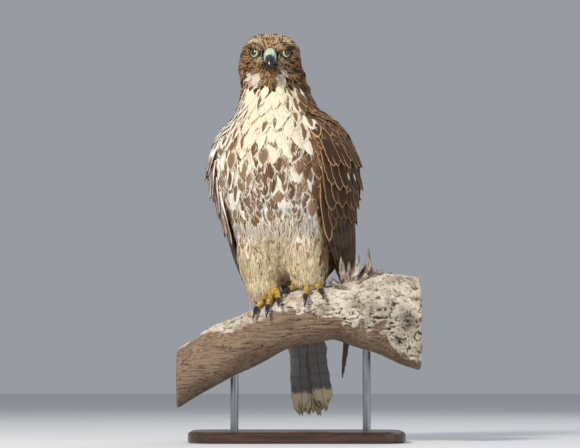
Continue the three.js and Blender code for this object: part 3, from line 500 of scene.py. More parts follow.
# A place along the brow, then where that is in the head's frame and how thick it is.
brow = curve_through([[0, 8.5, -36.5, 8.2, 1.6], [0.25, 14, -37, 10.4, 2.8], [0.5, 21, -34.5, 11.6, 3.3],
                      [0.75, 28, -28, 11.2, 3.0], [1, 33, -19, 9.4, 1.6]])
for side in (-1, 1):
    rings = []
    for x, y, z, thick in np.array(brow(np.linspace(0, 1, 12))).T:
        angle = round_angles(BROW_SIDES)[:, None]
        out = np.array([side * x, y, 0]) / math.hypot(x, y)
        ring = out * np.cos(angle) + np.array([0, 0, 0.8]) * np.sin(angle)
        rings.append(np.array([side * x, y, z]) + thick * ring)
    closed_form(hide_form, in_bird(np.array(rings) + HEAD_AT), BROW_SIDES)
bmesh.ops.recalc_face_normals(hide_form, faces=hide_form.faces)
drawn_hide = bpy.data.meshes.new("drawn_hide")
hide_form.to_mesh(drawn_hide)
hide_form.free()
hide = bpy.data.objects.new("drawn_hide", drawn_hide)
bpy.context.collection.objects.link(hide)
knit = hide.modifiers.new("knit", "REMESH")
knit.mode = "VOXEL"
knit.voxel_size = 0.0023
ease = hide.modifiers.new("ease", "SMOOTH")
ease.factor = 0.5
ease.iterations = 7
settled = bpy.data.meshes.new_from_object(hide.evaluated_get(bpy.context.evaluated_depsgraph_get()))
bpy.data.objects.remove(hide)


def read(items, key, width, kind=np.float32):
    """A table with a row for each item, such as the place of each point."""
    values = np.empty(len(items) * width, kind)
    items.foreach_get(key, values)
    return values.reshape(-1, width)


hide_points = read(settled.vertices, "co", 3).astype(float) * 1000
hide_normals = read(settled.vertices, "normal", 3).astype(float)


def mix(a, b, weight):
    """Towards b by the weight at each place; a and b may be numbers, colours or codes of colours."""
    a, b = (np.array(hexed(c)) if isinstance(c, str) else c for c in (a, b))
    weight = weight[:, None] if np.ndim(a) > 1 or np.ndim(b) > 0 and np.size(b) == 3 else weight
    return a * (1 - weight) + np.asarray(b, float) * weight


def zones(places):
    """Where each place is on the bird: height, turn round the body, and its place in the head's frame."""
    bird = in_bird(places)
    middle, half, front, back = body_form(bird[:, 2])
    y = -(bird[:, 1] - middle)
    turn = np.degrees(np.arctan2(bird[:, 0] / half, y / np.where(y > 0, front, back)))
    head = places - HEAD_AT
    reach = np.linalg.norm(head / (37.5, 40, 35), axis=1)
    ragged = 6 * np.sin(head[:, 0] / 2.6 + 1) * np.sin(head[:, 0] / 7.1) - 7 * near((head[:, 0], 6, 4))
    on_head = eased(1.35 - reach, 0, 0.12) * eased(head[:, 2] + 0.12 * np.abs(head[:, 0]) - ragged, -41, -36)
    on_leg = eased(14 - bird[:, 1] - 0.12 * bird[:, 2], -8, 4) * eased(62 - bird[:, 2], 0, 22)
    return bird[:, 2], turn, head, on_head, on_leg


def coat_depth(places):
    """How deep the feathers lie over the skin."""
    _, _, head, on_head, _ = zones(places)
    face = eased(-head[:, 1], -4, 26) * on_head
    depth = mix(mix(np.full(len(places), 5.2), 3.0, on_head), 1.1, face)
    bird = in_bird(places)
    shank = eased(8 - bird[:, 2], 0, 10) * (bird[:, 1] < 14)
    return mix(depth, 1.2, shank)


skin_points = hide_points - hide_normals * coat_depth(hide_points)[:, None]
settled.vertices.foreach_set("co", (skin_points / 1000).astype(np.float32).ravel())
settled.update()
settled.calc_loop_triangles()
skin = bpy.data.objects.new("hawk_skin", settled)
bpy.context.collection.objects.link(skin)
for face in settled.polygons:
    face.use_smooth = True
skin_faces = read(settled.loop_triangles, "vertices", 3, np.int32)
skin_surface = BVHTree.FromPolygons(skin_points.tolist(), skin_faces.tolist())

# The coat's colours by place: brown above, creamy white below, with brown drops on the breast, streaks down the
# sides of the neck, a dark cheek and chin, and buff thighs. Each feather has a ground colour and a mark. First,
# by height, the angle at which the brown of each side begins.
wing_front_left = curve_through([[-40, 40], [60, 47], [106, 50], [140, 48], [180, 47], [200, 50], [213, 56],
                                 [224, 58], [247, 54], [283, 50]])
wing_front_right = curve_through([[-40, 70], [60, 96], [106, 104], [140, 104], [180, 100], [200, 96], [224, 84],
                                  [247, 64], [283, 54]])


def plumage(places):
    """Each feather's ground colour, its mark's colour and size, and the kind of mark: 0 drop, 0.5 streak, 1 edge."""
    height, turn, head, on_head, on_leg = zones(places)
    side_front = np.where(turn > 0, wing_front_left(height)[0], wing_front_right(height)[0])
    dorsal = eased(np.abs(turn) - side_front, -5, 5)
    dorsal = dorsal * np.maximum(eased(height, -12, 8), eased(np.abs(turn), 96, 120))
    wavy = noise_at(places, 26, 2, 5.0)
    fine = noise_at(places, 9, 2, 2.0)
    n = len(places)
    chance = rng.random(n)

    # the breast and belly
    cream = eased(height + 14 * wavy, 120, 215) * eased(66 - np.abs(turn - 5), 0, 44)
    ground = mix("efe8db", "eddfc0", 0.85 * cream)
    buff = eased(118 - height + 22 * wavy, 0, 62)
    ground = mix(ground, "f5deb4", 0.9 * buff)
    ground = mix(ground, "ecd6b0", 0.6 * eased(34 - height, 0, 40))
    tone = mix("82644a", "674a35", eased(wavy + 0.4 * fine, 0, 0.5))
    tone = mix(tone, "a5896a", 0.5 * (rng.random(n) < 0.3) * 1.0)
    tone = mix(tone, "9a7851", 0.55 * buff)
    flank = eased(np.abs(turn - 8), 42, 66)
    drops = eased(212 - height + 30 * flank + 18 * wavy, 0, 26) * eased(height + 24 * fine + 16 * flank, 18, 78)
    busy = 0.7 + 0.25 * flank + 0.3 * eased(wavy, -0.3, 0.3)
    size = np.where(chance < busy * drops, 0.82 + 0.3 * rng.random(n) + 0.1 * flank, 0.0)
    kind = np.where(rng.random(n) < 0.22, 0.5, 0.0)
    high = eased(height, 196, 214) * (1 - on_head)
    streaky = high * eased(np.abs(turn - 6), 18, 40)
    size = np.where(high > 0.5, np.where(rng.random(n) < 0.12 + 0.8 * streaky, 0.95, 0.0), size)
    tone = mix(tone, "87623f", high * 0.8)
    kind = np.where(high > 0.5, 0.5, kind)

    # the thighs and the vent
    ground = mix(ground, "f3deb6", on_leg)
    ground = mix(ground, "dccbb0", on_leg * eased(26 - height + 8 * fine, 0, 22))
    size = np.where((on_leg > 0.5) & (rng.random(n) > 0.3), 0.0, size)

    # the back, the mantle and the wing's small coverts
    brown = mix("533a27", "6e5038", eased(fine, -0.3, 0.4))
    brown = mix(brown, "3d281a", 0.55 * eased(np.abs(turn), 120, 165) * eased(height, 60, 120))
    edge = mix("cda679", "96734e", eased(wavy, -0.3, 0.4))
    size = np.where(dorsal > 0.5, 0.55 + 0.22 * rng.random(n), size)
    kind = np.where(dorsal > 0.5, 1.0, kind)
    flecked = (dorsal > 0.5) & (rng.random(n) < 0.1)
    edge[flecked] = hexed("e8d9bd")
    ground = mix(ground, edge, (dorsal > 0.5) * 1.0)
    tone = mix(tone, brown, (dorsal > 0.5) * 1.0)

    # the head
    x, y, z = head.T
    crown = mix("5b3c24", "3f2a1b", eased(fine, -0.2, 0.4))
    edges = mix("b18a60", "cfb389", eased(-y, 4, 26) * eased(z, 4, 18))
    cheek = eased(4 - z, 0, 8) * eased(y + 44, 0, 8)
    crown = mix(crown, "36251a", 0.8 * cheek)
    moustache = near((z + 7 - 0.12 * np.abs(x), 0, 5.5)) * eased(np.abs(x), 11, 17)
    # The moustache stripe is the bird's own dark colour. The darkening of the lower face on the bird's left side only
    # is painted shade, for the side turned away from the main lamp.
    painted_face_side_shade = eased(x, 12, 20) * eased(2 - z, 0, 8) * eased(z + 32, 0, 8)
    crown = mix(crown, "241912", np.maximum(0.85 * moustache, 0.9 * painted_face_side_shade))
    edges = mix(edges, "86623f", 0.8 * np.maximum(moustache, painted_face_side_shade))
    # A painted shadow: the feathers along the brow just above each eye are darkened to the shade that the overhanging
    # brow throws there.
    painted_brow_shadow = near((z, 12.6, 2.4)) * eased(-y, 10, 20) * eased(np.abs(x), 9, 12)
    crown = mix(crown, "20160f", 0.9 * painted_brow_shadow)
    edges = mix(edges, "5c432c", 0.9 * painted_brow_shadow)
    brow_pale = near((z, 17.5, 1.6)) * eased(-y, 18, 28) * eased(np.abs(x), 7, 11)
    edges = mix(edges, "d9c6a2", brow_pale)
    lores = near((np.abs(x), 10.5, 4), (z, 1, 7)) * eased(-y, 20, 30)
    edges = mix(edges, "c9c0a2", lores)
    crown = mix(crown, "8d8369", 0.8 * lores)
    throat = near((x, -17, 8), (z, -25, 7.5)) + 1.2 * near((x - 14 - 0.1 * z, 0, 4.4), (z, -27, 12))
    throat = eased(throat + 0.25 * fine, 0.3, 0.62) * eased(-y, -4, 8)
    edges = mix(edges, "f3eee0", throat)
    crown = mix(crown, "d6ccb6", throat)
    collar = eased(-y, -4, 8) * near((z + 37 - 0.15 * np.abs(x - 6), 0, 5), (x, 3, 17)) * (1 - np.clip(throat, 0, 1))
    crown = mix(crown, "2b1c12", np.clip(1.1 * collar, 0, 1))
    edges = mix(edges, "6a4a2c", 0.85 * collar)
    chin = near((x, 2, 8), (z, -25, 8))
    crown = mix(crown, "7a5c3c", 0.8 * chin)
    edges = mix(edges, "b89a6c", 0.8 * chin)
    head_size = 0.5 + 0.36 * rng.random(n) - 0.06 * eased(-y, 8, 28) * eased(z, 10, 20)
    chosen = on_head > 0.2 + 0.6 * rng.random(n)
    ground[chosen], tone[chosen], size[chosen] = edges[chosen], crown[chosen], head_size[chosen]
    kind[chosen] = np.where(rng.random(n) < 0.55 - 0.4 * throat, 0.5, 1.0)[chosen]
    shade = (1 + 0.1 * (rng.random(n) - 0.5))[:, None]
    return np.clip(ground * shade, 0, 1), np.clip(tone * shade, 0, 1), np.clip(size, 0, 1), kind


ground, tone, size, kind = plumage(skin_points)
painted(skin, "ground", mix(ground, tone, 0.35 + 0.4 * (kind > 0.75)))
hide_skin, node, connect = finish_for("skin_under_feathers", Roughness=0.9, Specular_IOR_Level=0.15)
own = node("Attribute", attribute_name="ground")["Color"]
down = grained(node, 700, 4)
between_down = ramp(node, down, [(0.3, (0.55, 0.52, 0.48)), (0.7, (1, 1, 1))])
connect(blended(node, 0.8, own, between_down, blend_type="MULTIPLY"), "Base Color")
roughen(node, connect, down, 0.5, 0.0006)
settled.materials.clear()
settled.materials.append(hide_skin)
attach(skin, "root")
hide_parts("head", "neck", "torso", "leg_left", "leg_right")

# The body feathers: each is a thin cupped vane rooted in the skin, laid over the next like a shingle, with loose
# barbs at its rim. They run back from the bill over the head and down the body, and are largest on the breast,
# flanks and back. Down and hair-like feathers hang over the belly and thighs.


def lie_of_feathers(places, normals):
    """The way the feathers lie: away from the bill over the head, then down the body."""
    head = places - HEAD_AT
    from_bill = head - (0, -30, -1)
    reach = np.linalg.norm(from_bill, axis=1)
    near = 1 - eased(reach, 26, 70)
    flow = from_bill / reach[:, None] * near[:, None] + np.array([0, 0, -1]) * (1 - near)[:, None]
    height, turn, _, _, _ = zones(places)
    back = eased(np.abs(turn), 46, 80) * eased(height, 60, 110) * eased(235 - height, 0, 20)
    flow += np.array([0, 1, 0]) * (0.18 * back)[:, None]
    flow -= normals * (flow * normals).sum(1)[:, None]
    return unit(flow)


def nearest_on_skin(points):
    """The nearest place on the skin to each point, and the way out from it."""
    found = [skin_surface.find_nearest(Vector(p)) for p in points]
    return np.array([tuple(f[0]) for f in found]), np.array([tuple(f[1]) for f in found])


def feather_roots(spacing_at, wanted_at, tries, seed):
    """Roots spread over the skin, about spacing_at(places) apart, where wanted_at(places) is above 0."""
    draw = np.random.default_rng(seed)
    a, b, c = (skin_points[skin_faces[:, i]] for i in range(3))
    area = np.linalg.norm(np.cross(b - a, c - a), axis=1)
    weight = area / spacing_at((a + b + c) / 3) ** 2
    chosen = draw.choice(len(area), tries, p=weight / weight.sum())
    u, v = draw.random(tries), draw.random(tries)
    over = u + v > 1
    u[over], v[over] = 1 - u[over], 1 - v[over]
    places = a[chosen] + (b - a)[chosen] * u[:, None] + (c - a)[chosen] * v[:, None]
    out = unit(np.cross(b - a, c - a)[chosen], 1e-12)
    keep = wanted_at(places) > 0
    places, out = places[keep], out[keep]
    spacing = spacing_at(places)
    tree = KDTree(len(places))
    for i, p in enumerate(places):
        tree.insert(p, i)
    tree.balance()
    alive = np.ones(len(places), bool)
    kept = []
    for i in range(len(places)):
        if alive[i]:
            kept.append(i)
            for _, j, _ in tree.find_range(places[i], spacing[i]):
                alive[j] = False
    return places[kept], out[kept]


def skin_unwrap(places):
    """Each place on a plain unwrap of the skin: the body's turns and heights below, the head's above."""
    height, turn, head, on_head, _ = zones(places)
    flat = np.stack([0.02 + 0.96 * (turn + 180) / 360, 0.01 + 0.6 * np.clip((height + 45) / 335, 0, 1)], 1)
    rise = np.arcsin(np.clip(head[:, 2] / np.linalg.norm(head, axis=1), -1, 1)) / np.pi + 0.5
    round_turn = np.arctan2(head[:, 0], -head[:, 1]) / (2 * np.pi) + 0.5
    round_head = np.stack([0.02 + 0.96 * round_turn, 0.64 + 0.33 * rise], 1)
    return np.where(on_head[:, None] > 0.5, round_head, flat)


def uv_map(piece, name, at_points):
    corners = read(piece.data.loops, "vertex_index", 1, np.int32)[:, 0]
    layer = piece.data.uv_layers.new(name=name)
    layer.data.foreach_set("uv", np.asarray(at_points, np.float32)[corners].ravel())


# A body feather's rows from root to tip, its columns from edge to edge, and how wide each row is in a broad
# feather and in a pointed one. Then a strand's quads and its places on the vane.
ROWS_ALONG = np.array([0, 0.16, 0.34, 0.52, 0.7, 0.86, 1.0])
COLUMNS = np.array([-1, -0.55, 0, 0.55, 1.0])
BROAD = np.array([0.42, 0.78, 0.98, 1.0, 0.93, 0.68, 0.2])
HACKLE = np.array([0.45, 0.8, 0.95, 0.88, 0.68, 0.4, 0.06])
STRAND_QUADS = np.array([[0, 2, 3, 1], [2, 4, 5, 3], [4, 6, 7, 5]])
STRAND_VANE = np.array([[u, v] for v in (0.05, 0.1, 0.13, 0.16) for u in (0.45, 0.55)])


class Coat:
    """A growing set of feathers and loose barbs that become one piece."""

    def __init__(self):
        self.points, self.faces, self.vane, self.bake = [], [], [], []
        self.ground, self.tone, self.mark = [], [], []
        self.count = 0

    def add(self, points, quads, vane, bake, ground, tone, mark):
        """Adds n feathers of k points, points being (n, k, 3); the values have one row, or k rows, for a feather."""
        n, k = points.shape[:2]
        starts = self.count + np.arange(n) * k
        self.faces.append((quads[None] + starts[:, None, None]).reshape(-1, 4))
        self.points.append(points.reshape(-1, 3))
        self.vane.append(np.broadcast_to(vane, (n, k, 2)).reshape(-1, 2))
        if bake.ndim < 3:
            bake = bake[:, None] + 0.003 * (np.broadcast_to(vane, (n, k, 2)) - 0.5)
        self.bake.append(bake.reshape(-1, 2))
        for store, values in ((self.ground, ground), (self.tone, tone), (self.mark, mark)):
            store.append(values.reshape(-1, 3) if values.ndim > 2 else np.repeat(values, k, axis=0))
        self.count += n * k

    def made(self, name, material, slot):
        piece = mesh_piece(name, np.concatenate(self.points), np.concatenate(self.faces), [material])
        painted(piece, "ground", np.concatenate(self.ground))
        painted(piece, "tone", np.concatenate(self.tone))
        painted(piece, "MARK", np.concatenate(self.mark))
        uv_map(piece, "vane", np.concatenate(self.vane))
        uv_map(piece, "OFBake", np.concatenate(self.bake))
        return piece


def grid_quads(rows, columns):
    row, column = np.meshgrid(np.arange(rows - 1), np.arange(columns - 1), indexing="ij")
    first = row * columns + column
    return np.stack([first, first + columns, first + columns + 1, first + 1], -1).reshape(-1, 4)


def lay_feathers(coat, roots, out, length, width, depth, pointed, marks, barbs, seed, yaw=9.0):
    """Feathers from their roots along the lie, curved over the skin, each with loose barbs round its tip."""
    draw = np.random.default_rng(seed)
    n = len(roots)
    ground, tone, size, kind = marks
    mark = np.stack([size, kind, draw.random(n)], 1)
    flow = lie_of_feathers(roots, out)
    side = np.cross(flow, out)
    swing = np.radians(draw.normal(0, yaw, n))[:, None]
    flow = flow * np.cos(swing) + side * np.sin(swing)
    rows = len(ROWS_ALONG)
    spine, normals, flows = [roots], [out], [flow]
    for i in range(1, rows):
        step = (ROWS_ALONG[i] - ROWS_ALONG[i - 1]) * length
        ahead = spine[-1] + flows[-1] * step[:, None]
        at, normal = nearest_on_skin(ahead)
        normal = unit(normal * 0.6 + normals[-1] * 0.4)
        onward = ahead - spine[-1]
        onward -= normal * (onward * normal).sum(1)[:, None]
        spine.append(at)
        normals.append(normal)
        flows.append(unit(onward, 1e-9))
    spine, normals, flows = (np.stack(a, 1) for a in (spine, normals, flows))
    t, deep = ROWS_ALONG[None, :, None], depth[:, None, None]
    height = 0.15 + deep * (0.08 + 0.92 * np.sin(np.pi / 2 * np.minimum(1, 1.12 * t)))
    height = height + draw.normal(0, 0.28, n)[:, None, None] * t * deep / 5
    spine = spine + normals * height
    across = np.cross(flows, normals)
    profile = BROAD[None] * (1 - pointed[:, None]) + HACKLE[None] * pointed[:, None]
    half = 0.5 * width[:, None, None] * profile[:, :, None]
    columns = COLUMNS[None, None]
    jag = draw.normal(0, 0.045, (n, 1, len(COLUMNS))) * (ROWS_ALONG[None, :, None] > 0.8)
    sideways = half * columns
    roll = np.radians(draw.normal(0, 7, n))[:, None, None]
    lift = -0.2 * half * columns**2 + sideways * np.sin(roll)
    points = (spine[:, :, None] + across[:, :, None] * sideways[..., None] + normals[:, :, None] * lift[..., None]
              + flows[:, :, None] * (jag * length[:, None, None])[..., None])
    vane = np.stack(np.broadcast_arrays((columns[0] + 1) / 2, ROWS_ALONG[:, None]), -1).reshape(1, -1, 2)
    bake = skin_unwrap(roots)
    coat.add(points.reshape(n, -1, 3), grid_quads(rows, len(COLUMNS)), vane, bake, ground, tone, mark)
    if not barbs:
        return
    feather = np.repeat(np.arange(n), barbs)
    m = len(feather)
    v = 0.42 + 0.58 * draw.random(m)
    row = np.clip(np.searchsorted(ROWS_ALONG, v) - 1, 0, rows - 2)
    share = ((v - ROWS_ALONG[row]) / (ROWS_ALONG[row + 1] - ROWS_ALONG[row]))[:, None]

    def between(a):
        return a[feather, row] * (1 - share) + a[feather, row + 1] * share

    hand = np.where(draw.random(m) < 0.5, -1.0, 1.0)[:, None]
    edge = between(half) * hand * (0.55 + 0.4 * draw.random((m, 1)))
    start = between(spine) + between(across) * edge - between(normals) * 0.12 * np.abs(edge)
    outwards = between(flows) + between(across) * hand * (0.2 + 0.5 * draw.random((m, 1))) * (v[:, None] < 0.96)
    outwards = unit(outwards + between(normals) * (0.1 + 0.22 * draw.random((m, 1))))
    long = (width[feather] * (0.18 + 0.28 * draw.random(m)))[:, None]
    wide = np.cross(outwards, between(normals)) * (0.012 * width[feather] + 0.14)[:, None]
    halfway = start + outwards * long * 0.55
    end = start + outwards * long - between(normals) * 0.12 * long
    barb = np.stack([start - wide, start + wide, halfway + wide * 0.7, halfway - wide * 0.7,
                     end + wide * 0.15, end - wide * 0.15], 1)
    quads = np.array([[0, 3, 2, 1], [3, 5, 4, 2]])
    u = 0.5 + 0.5 * hand * 0.85
    held = np.concatenate([u, v[:, None]], 1)[:, None] + np.zeros((1, 6, 1))
    coat.add(barb, quads, held, bake[feather], ground[feather], tone[feather], mark[feather])


def hanging_hair(coat, roots, out, length, depth, marks, seed, strands, spread):
    """Hair-like feathers: tufts of fine strands that follow the lie and part a little at their tips."""
    draw = np.random.default_rng(seed)
    n = len(roots)
    ground, tone, size, kind = marks
    flow = lie_of_feathers(roots, out)
    stations = [0, 0.3, 0.65, 1.0]
    spine, normals, heading = [roots], [out], flow + 0.28 * draw.normal(0, 1, (n, 3)) * 0.6
    for i in range(1, 4):
        step = (stations[i] - stations[i - 1]) * length
        heading = unit(heading - normals[-1] * (heading * normals[-1]).sum(1)[:, None], 1e-9)
        at, normal = nearest_on_skin(spine[-1] + heading * step[:, None])
        spine.append(at)
        normals.append(normal)
    spine, normals = np.stack(spine, 1), np.stack(normals, 1)
    rise = np.array([0.2, 0.75, 1.0, 0.95])[None, :, None] * depth[:, None, None]
    spine = spine + normals * rise
    tuft = np.repeat(np.arange(n), strands)
    m = len(tuft)
    ahead = unit(np.gradient(spine, axis=1), 1e-9)
    across = np.cross(ahead, normals)[tuft]

    def along_strand(*values):
        return np.array(values)[None, :, None]

    fan = draw.normal(0, 1, (m, 1, 1)) * spread * along_strand(0.3, 0.55, 0.9, 1.35)
    lift = draw.normal(0, 0.35, (m, 1, 1)) * along_strand(0.2, 0.6, 1, 1.4)
    curl = draw.normal(0, 1, (m, 1, 1)) * along_strand(0, 0.35, 0.2, -0.5)
    line = spine[tuft] + across * (fan + curl) + normals[tuft] * lift
    slide = draw.normal(0, 0.12, (m, 1, 1)) * length[tuft][:, None, None] * along_strand(0, 0.3, 0.7, 1)
    line += ahead[tuft] * slide
    wide = along_strand(0.2, 0.42, 0.34, 0.05) * (0.7 + 0.8 * draw.random((m, 1, 1)))
    strand = np.stack([line - across * wide, line + across * wide], 2).reshape(m, 8, 3)
    tint = mix(ground, tone, 0.8 * (size > 0.02))[tuft] * (0.55 + 0.7 * draw.random((m, 1)))
    mark = np.stack([size, kind, draw.random(n)], 1)
    coat.add(strand, STRAND_QUADS, STRAND_VANE, skin_unwrap(roots)[tuft], np.clip(tint, 0, 1), tone[tuft], mark[tuft])


def number(node, operation, *values, **settings):
    """A number from others, each from a node or plain."""
    return node("Math", dict(enumerate(values)), operation=operation, **settings)[0]


def spread(node, value, low, high, most=1.0, **settings):
    """0 at low and most at high."""
    return node("MapRange", {0: value, 1: low, 2: high, 4: most}, **settings)[0]


def vane_places(node):
    """How far a place lies from the shaft and how far along the feather, each 0 to 1."""
    split = node("SeparateXYZ", {0: node("UVMap", uv_map="vane")[0]})
    doubled = number(node, "MULTIPLY", split[0], 2.0)
    return number(node, "ABSOLUTE", number(node, "SUBTRACT", doubled, 1.0)), split[1]


def stored(node):
    """What each feather carries: its ground colour, its mark's colour and its mark's numbers."""
    ground, tone = (node("Attribute", attribute_name=key)["Color"] for key in ("ground", "tone"))
    return ground, tone, node("SeparateXYZ", {0: node("Attribute", attribute_name="MARK")["Vector"]})


# The body feathers' finish: a drop at the tip, a streak down the shaft, or dark to a pale edge.
body_feather, node, connect = finish_for("body_feathers", Roughness=0.78, Specular_IOR_Level=0.22)
calc = partial(number, node)
aside, onward = vane_places(node)
ground, tone, (size, kind, _) = stored(node)
wobble = calc("MULTIPLY", calc("SUBTRACT", grained(node, 520, 3), 0.5), 0.55)
drop_wide = calc("DIVIDE", aside, calc("ADD", calc("MULTIPLY", size, 0.84), 0.02))
drop_long = calc("DIVIDE", calc("SUBTRACT", onward, 0.68), calc("ADD", calc("MULTIPLY", size, 0.33), 0.02))
drop = calc("ADD", calc("POWER", drop_wide, 2.0), calc("POWER", calc("ABSOLUTE", drop_long), 2.0))
drop_in = spread(node, calc("ADD", drop, wobble), 1.45, 0.5, interpolation_type="SMOOTHSTEP")
streak_long = calc("ABSOLUTE", calc("DIVIDE", calc("SUBTRACT", onward, 0.6), 0.36))
streak = calc("ADD", calc("DIVIDE", aside, calc("MULTIPLY", size, 0.42)), calc("POWER", streak_long, 4.0))
streak_in = spread(node, calc("ADD", streak, wobble), 1.25, 0.75, interpolation_type="SMOOTHSTEP")
toward_tip = calc("MAXIMUM", calc("DIVIDE", calc("SUBTRACT", onward, 0.3), 0.7), 0.0)
rim = calc("ADD", calc("POWER", aside, 2.6), calc("POWER", toward_tip, 5.0))
inside = spread(node, calc("ADD", rim, wobble), calc("ADD", size, 0.16), calc("SUBTRACT", size, 0.2),
                interpolation_type="SMOOTHSTEP")
low = node("Mix", {0: calc("MULTIPLY", kind, 2.0, use_clamp=True), 2: drop_in, 3: streak_in})[0]
marked = node("Mix", {0: calc("GREATER_THAN", kind, 0.75), 2: low, 3: inside})[0]
marked = calc("MULTIPLY", marked, calc("GREATER_THAN", size, 0.02))
base = blended(node, marked, ground, tone)
slant = calc("SUBTRACT", calc("MULTIPLY", onward, 34.0), calc("MULTIPLY", aside, 9.0))
barb_lines = calc("SINE", calc("MULTIPLY", slant, 6.283))
shaft = calc("MULTIPLY", calc("LESS_THAN", aside, 0.05), 0.16)
shade = calc("SUBTRACT", calc("ADD", calc("MULTIPLY", barb_lines, 0.05), 0.98), shaft)
shade = calc("ADD", shade, calc("MULTIPLY", wobble, 0.3))
shade = node("CombineXYZ", {0: shade, 1: shade, 2: shade})[0]
connect(node("VectorMath", {0: base, 1: shade}, operation="MULTIPLY")[0], "Base Color")
roughen(node, connect, barb_lines, 0.18, 0.0003)

EYES = [HEAD_AT + (s * 16.6, -26, 5.2) for s in (-1, 1)]
GAZES = [np.array([s * math.sin(math.radians(33)), -math.cos(math.radians(33)), 0]) for s in (-1, 1)]


def off_the_eyes(places, room=8.4):
    """Above 0 for places outside the rims of the lids."""
    clear = np.full(len(places), 99.0)
    for eye, gaze in zip(EYES, GAZES):
        away = places - eye
        along = away @ gaze
        aside = away - along[:, None] * gaze
        aside[:, 2] *= np.where(aside[:, 2] > 0, 1.75, 1)
        across = np.linalg.norm(aside, axis=1)
        clear = np.minimum(clear, np.where(along > -4, across - room, 99))
    return clear


def off_the_bill(places):
    head = places - HEAD_AT
    narrow = eased(8.8 - np.abs(head[:, 0]), -0.6, 0.6) * eased(10.5 - np.abs(head[:, 2] + 1.6), -0.6, 0.6)
    return 0.5 - eased(-head[:, 1], 28, 32) * narrow


def head_spacing(places):
    head = places - HEAD_AT
    face = np.minimum(np.linalg.norm(head - (0, -33, 0), axis=1), off_the_eyes(places, 8.0) + 22)
    return 1.7 + 3.0 * eased(face, 10, 50)


def on_head_only(places):
    return np.minimum(np.minimum(zones(places)[3] - 0.08, off_the_eyes(places)), off_the_bill(places))


roots, out = feather_roots(head_spacing, on_head_only, 60000, 11)
spacing = head_spacing(roots)
length, width = 3.1 * spacing + 0.8, 1.75 * spacing
coat = Coat()
of_head = roots - HEAD_AT
full_crown = 1.9 * eased(of_head[:, 2], 4, 26)
full_cheeks = 1.3 * eased(np.abs(of_head[:, 0]), 18, 34) * eased(6 - of_head[:, 2], 0, 12)
depth = coat_depth(roots) * (0.75 + 0.5 * rng.random(len(roots))) + (full_crown + full_cheeks)
lay_feathers(coat, roots, out, length, width, depth,
             0.35 + 0.5 * rng.random(len(roots)), plumage(roots), barbs=6, seed=21, yaw=13)
coat.made("head_feathers", body_feather, "brown_feathers")


def body_spacing(places):
    height, turn, head, _, on_leg = zones(places)
    spacing = mix(np.full(len(places), 8.8), 6.4, eased(height, 200, 250))
    spacing = mix(spacing, 6.2, eased(np.abs(turn) - wing_front_left(height)[0], 0, 10))
    spacing = mix(spacing, 4.4, on_leg)
    spacing = mix(spacing, 2.8, on_leg * eased(10 - height, 0, 16))
    return mix(spacing, 4.6, eased(44 - np.linalg.norm(head, axis=1), -8, 0))


def body_wanted(places):
    return np.where(zones(places)[3] < 0.35, 1.0, -1.0)


roots, out = feather_roots(body_spacing, body_wanted, 60000, 12)
spacing = body_spacing(roots)
height, _, _, _, on_leg = zones(roots)
depth = coat_depth(roots) * (0.75 + 0.4 * rng.random(len(roots)))
marks = plumage(roots)
pointed = np.clip(0.2 + 0.6 * eased(height, 200, 250) + 0.5 * on_leg + 0.2 * rng.random(len(roots)), 0, 1)
length, width = 4.0 * spacing, 2.15 * spacing
dark = marks[3] > 0.75
front = ~dark & (height > 55)
lower = ~dark & ~front
for name, chosen, barbs, slot in (("breast_feathers", front, 16, "pale_feathers"),
                                  ("belly_and_thigh_feathers", lower, 12, "leg_feathers"),
                                  ("back_and_shoulder_feathers", dark, 8, "brown_feathers")):
    coat = Coat()
    lay_feathers(coat, roots[chosen], out[chosen], length[chosen], width[chosen], depth[chosen], pointed[chosen],
                 tuple(m[chosen] for m in marks), barbs, seed=21)
    coat.made(name, body_feather, slot)


def hair_wanted(places):
    height, turn, _, _, on_leg = zones(places)
    return (eased(118 - height, 0, 60) + on_leg - 0.3) * (np.abs(turn) < 100) - 0.02


HAIR_GAP = 2.5
roots, out = feather_roots(lambda p: np.full(len(p), HAIR_GAP), hair_wanted, 42000, 14)
height = zones(roots)[0]
marks = plumage(roots)
tint = np.clip(marks[0] * (0.94 + 0.12 * rng.random((len(roots), 1))), 0, 1)
unmarked = (tint, marks[1], np.zeros(len(roots)), marks[3])
coat = Coat()
hanging_hair(coat, roots, out, 15 + 12 * rng.random(len(roots)) * (1 - 0.6 * eased(12 - height, 0, 20)),
             coat_depth(roots) * (0.85 + 0.45 * rng.random(len(roots))), unmarked, 9, strands=6, spread=1.5)
coat.made("belly_and_thigh_hair", body_feather, "leg_feathers")

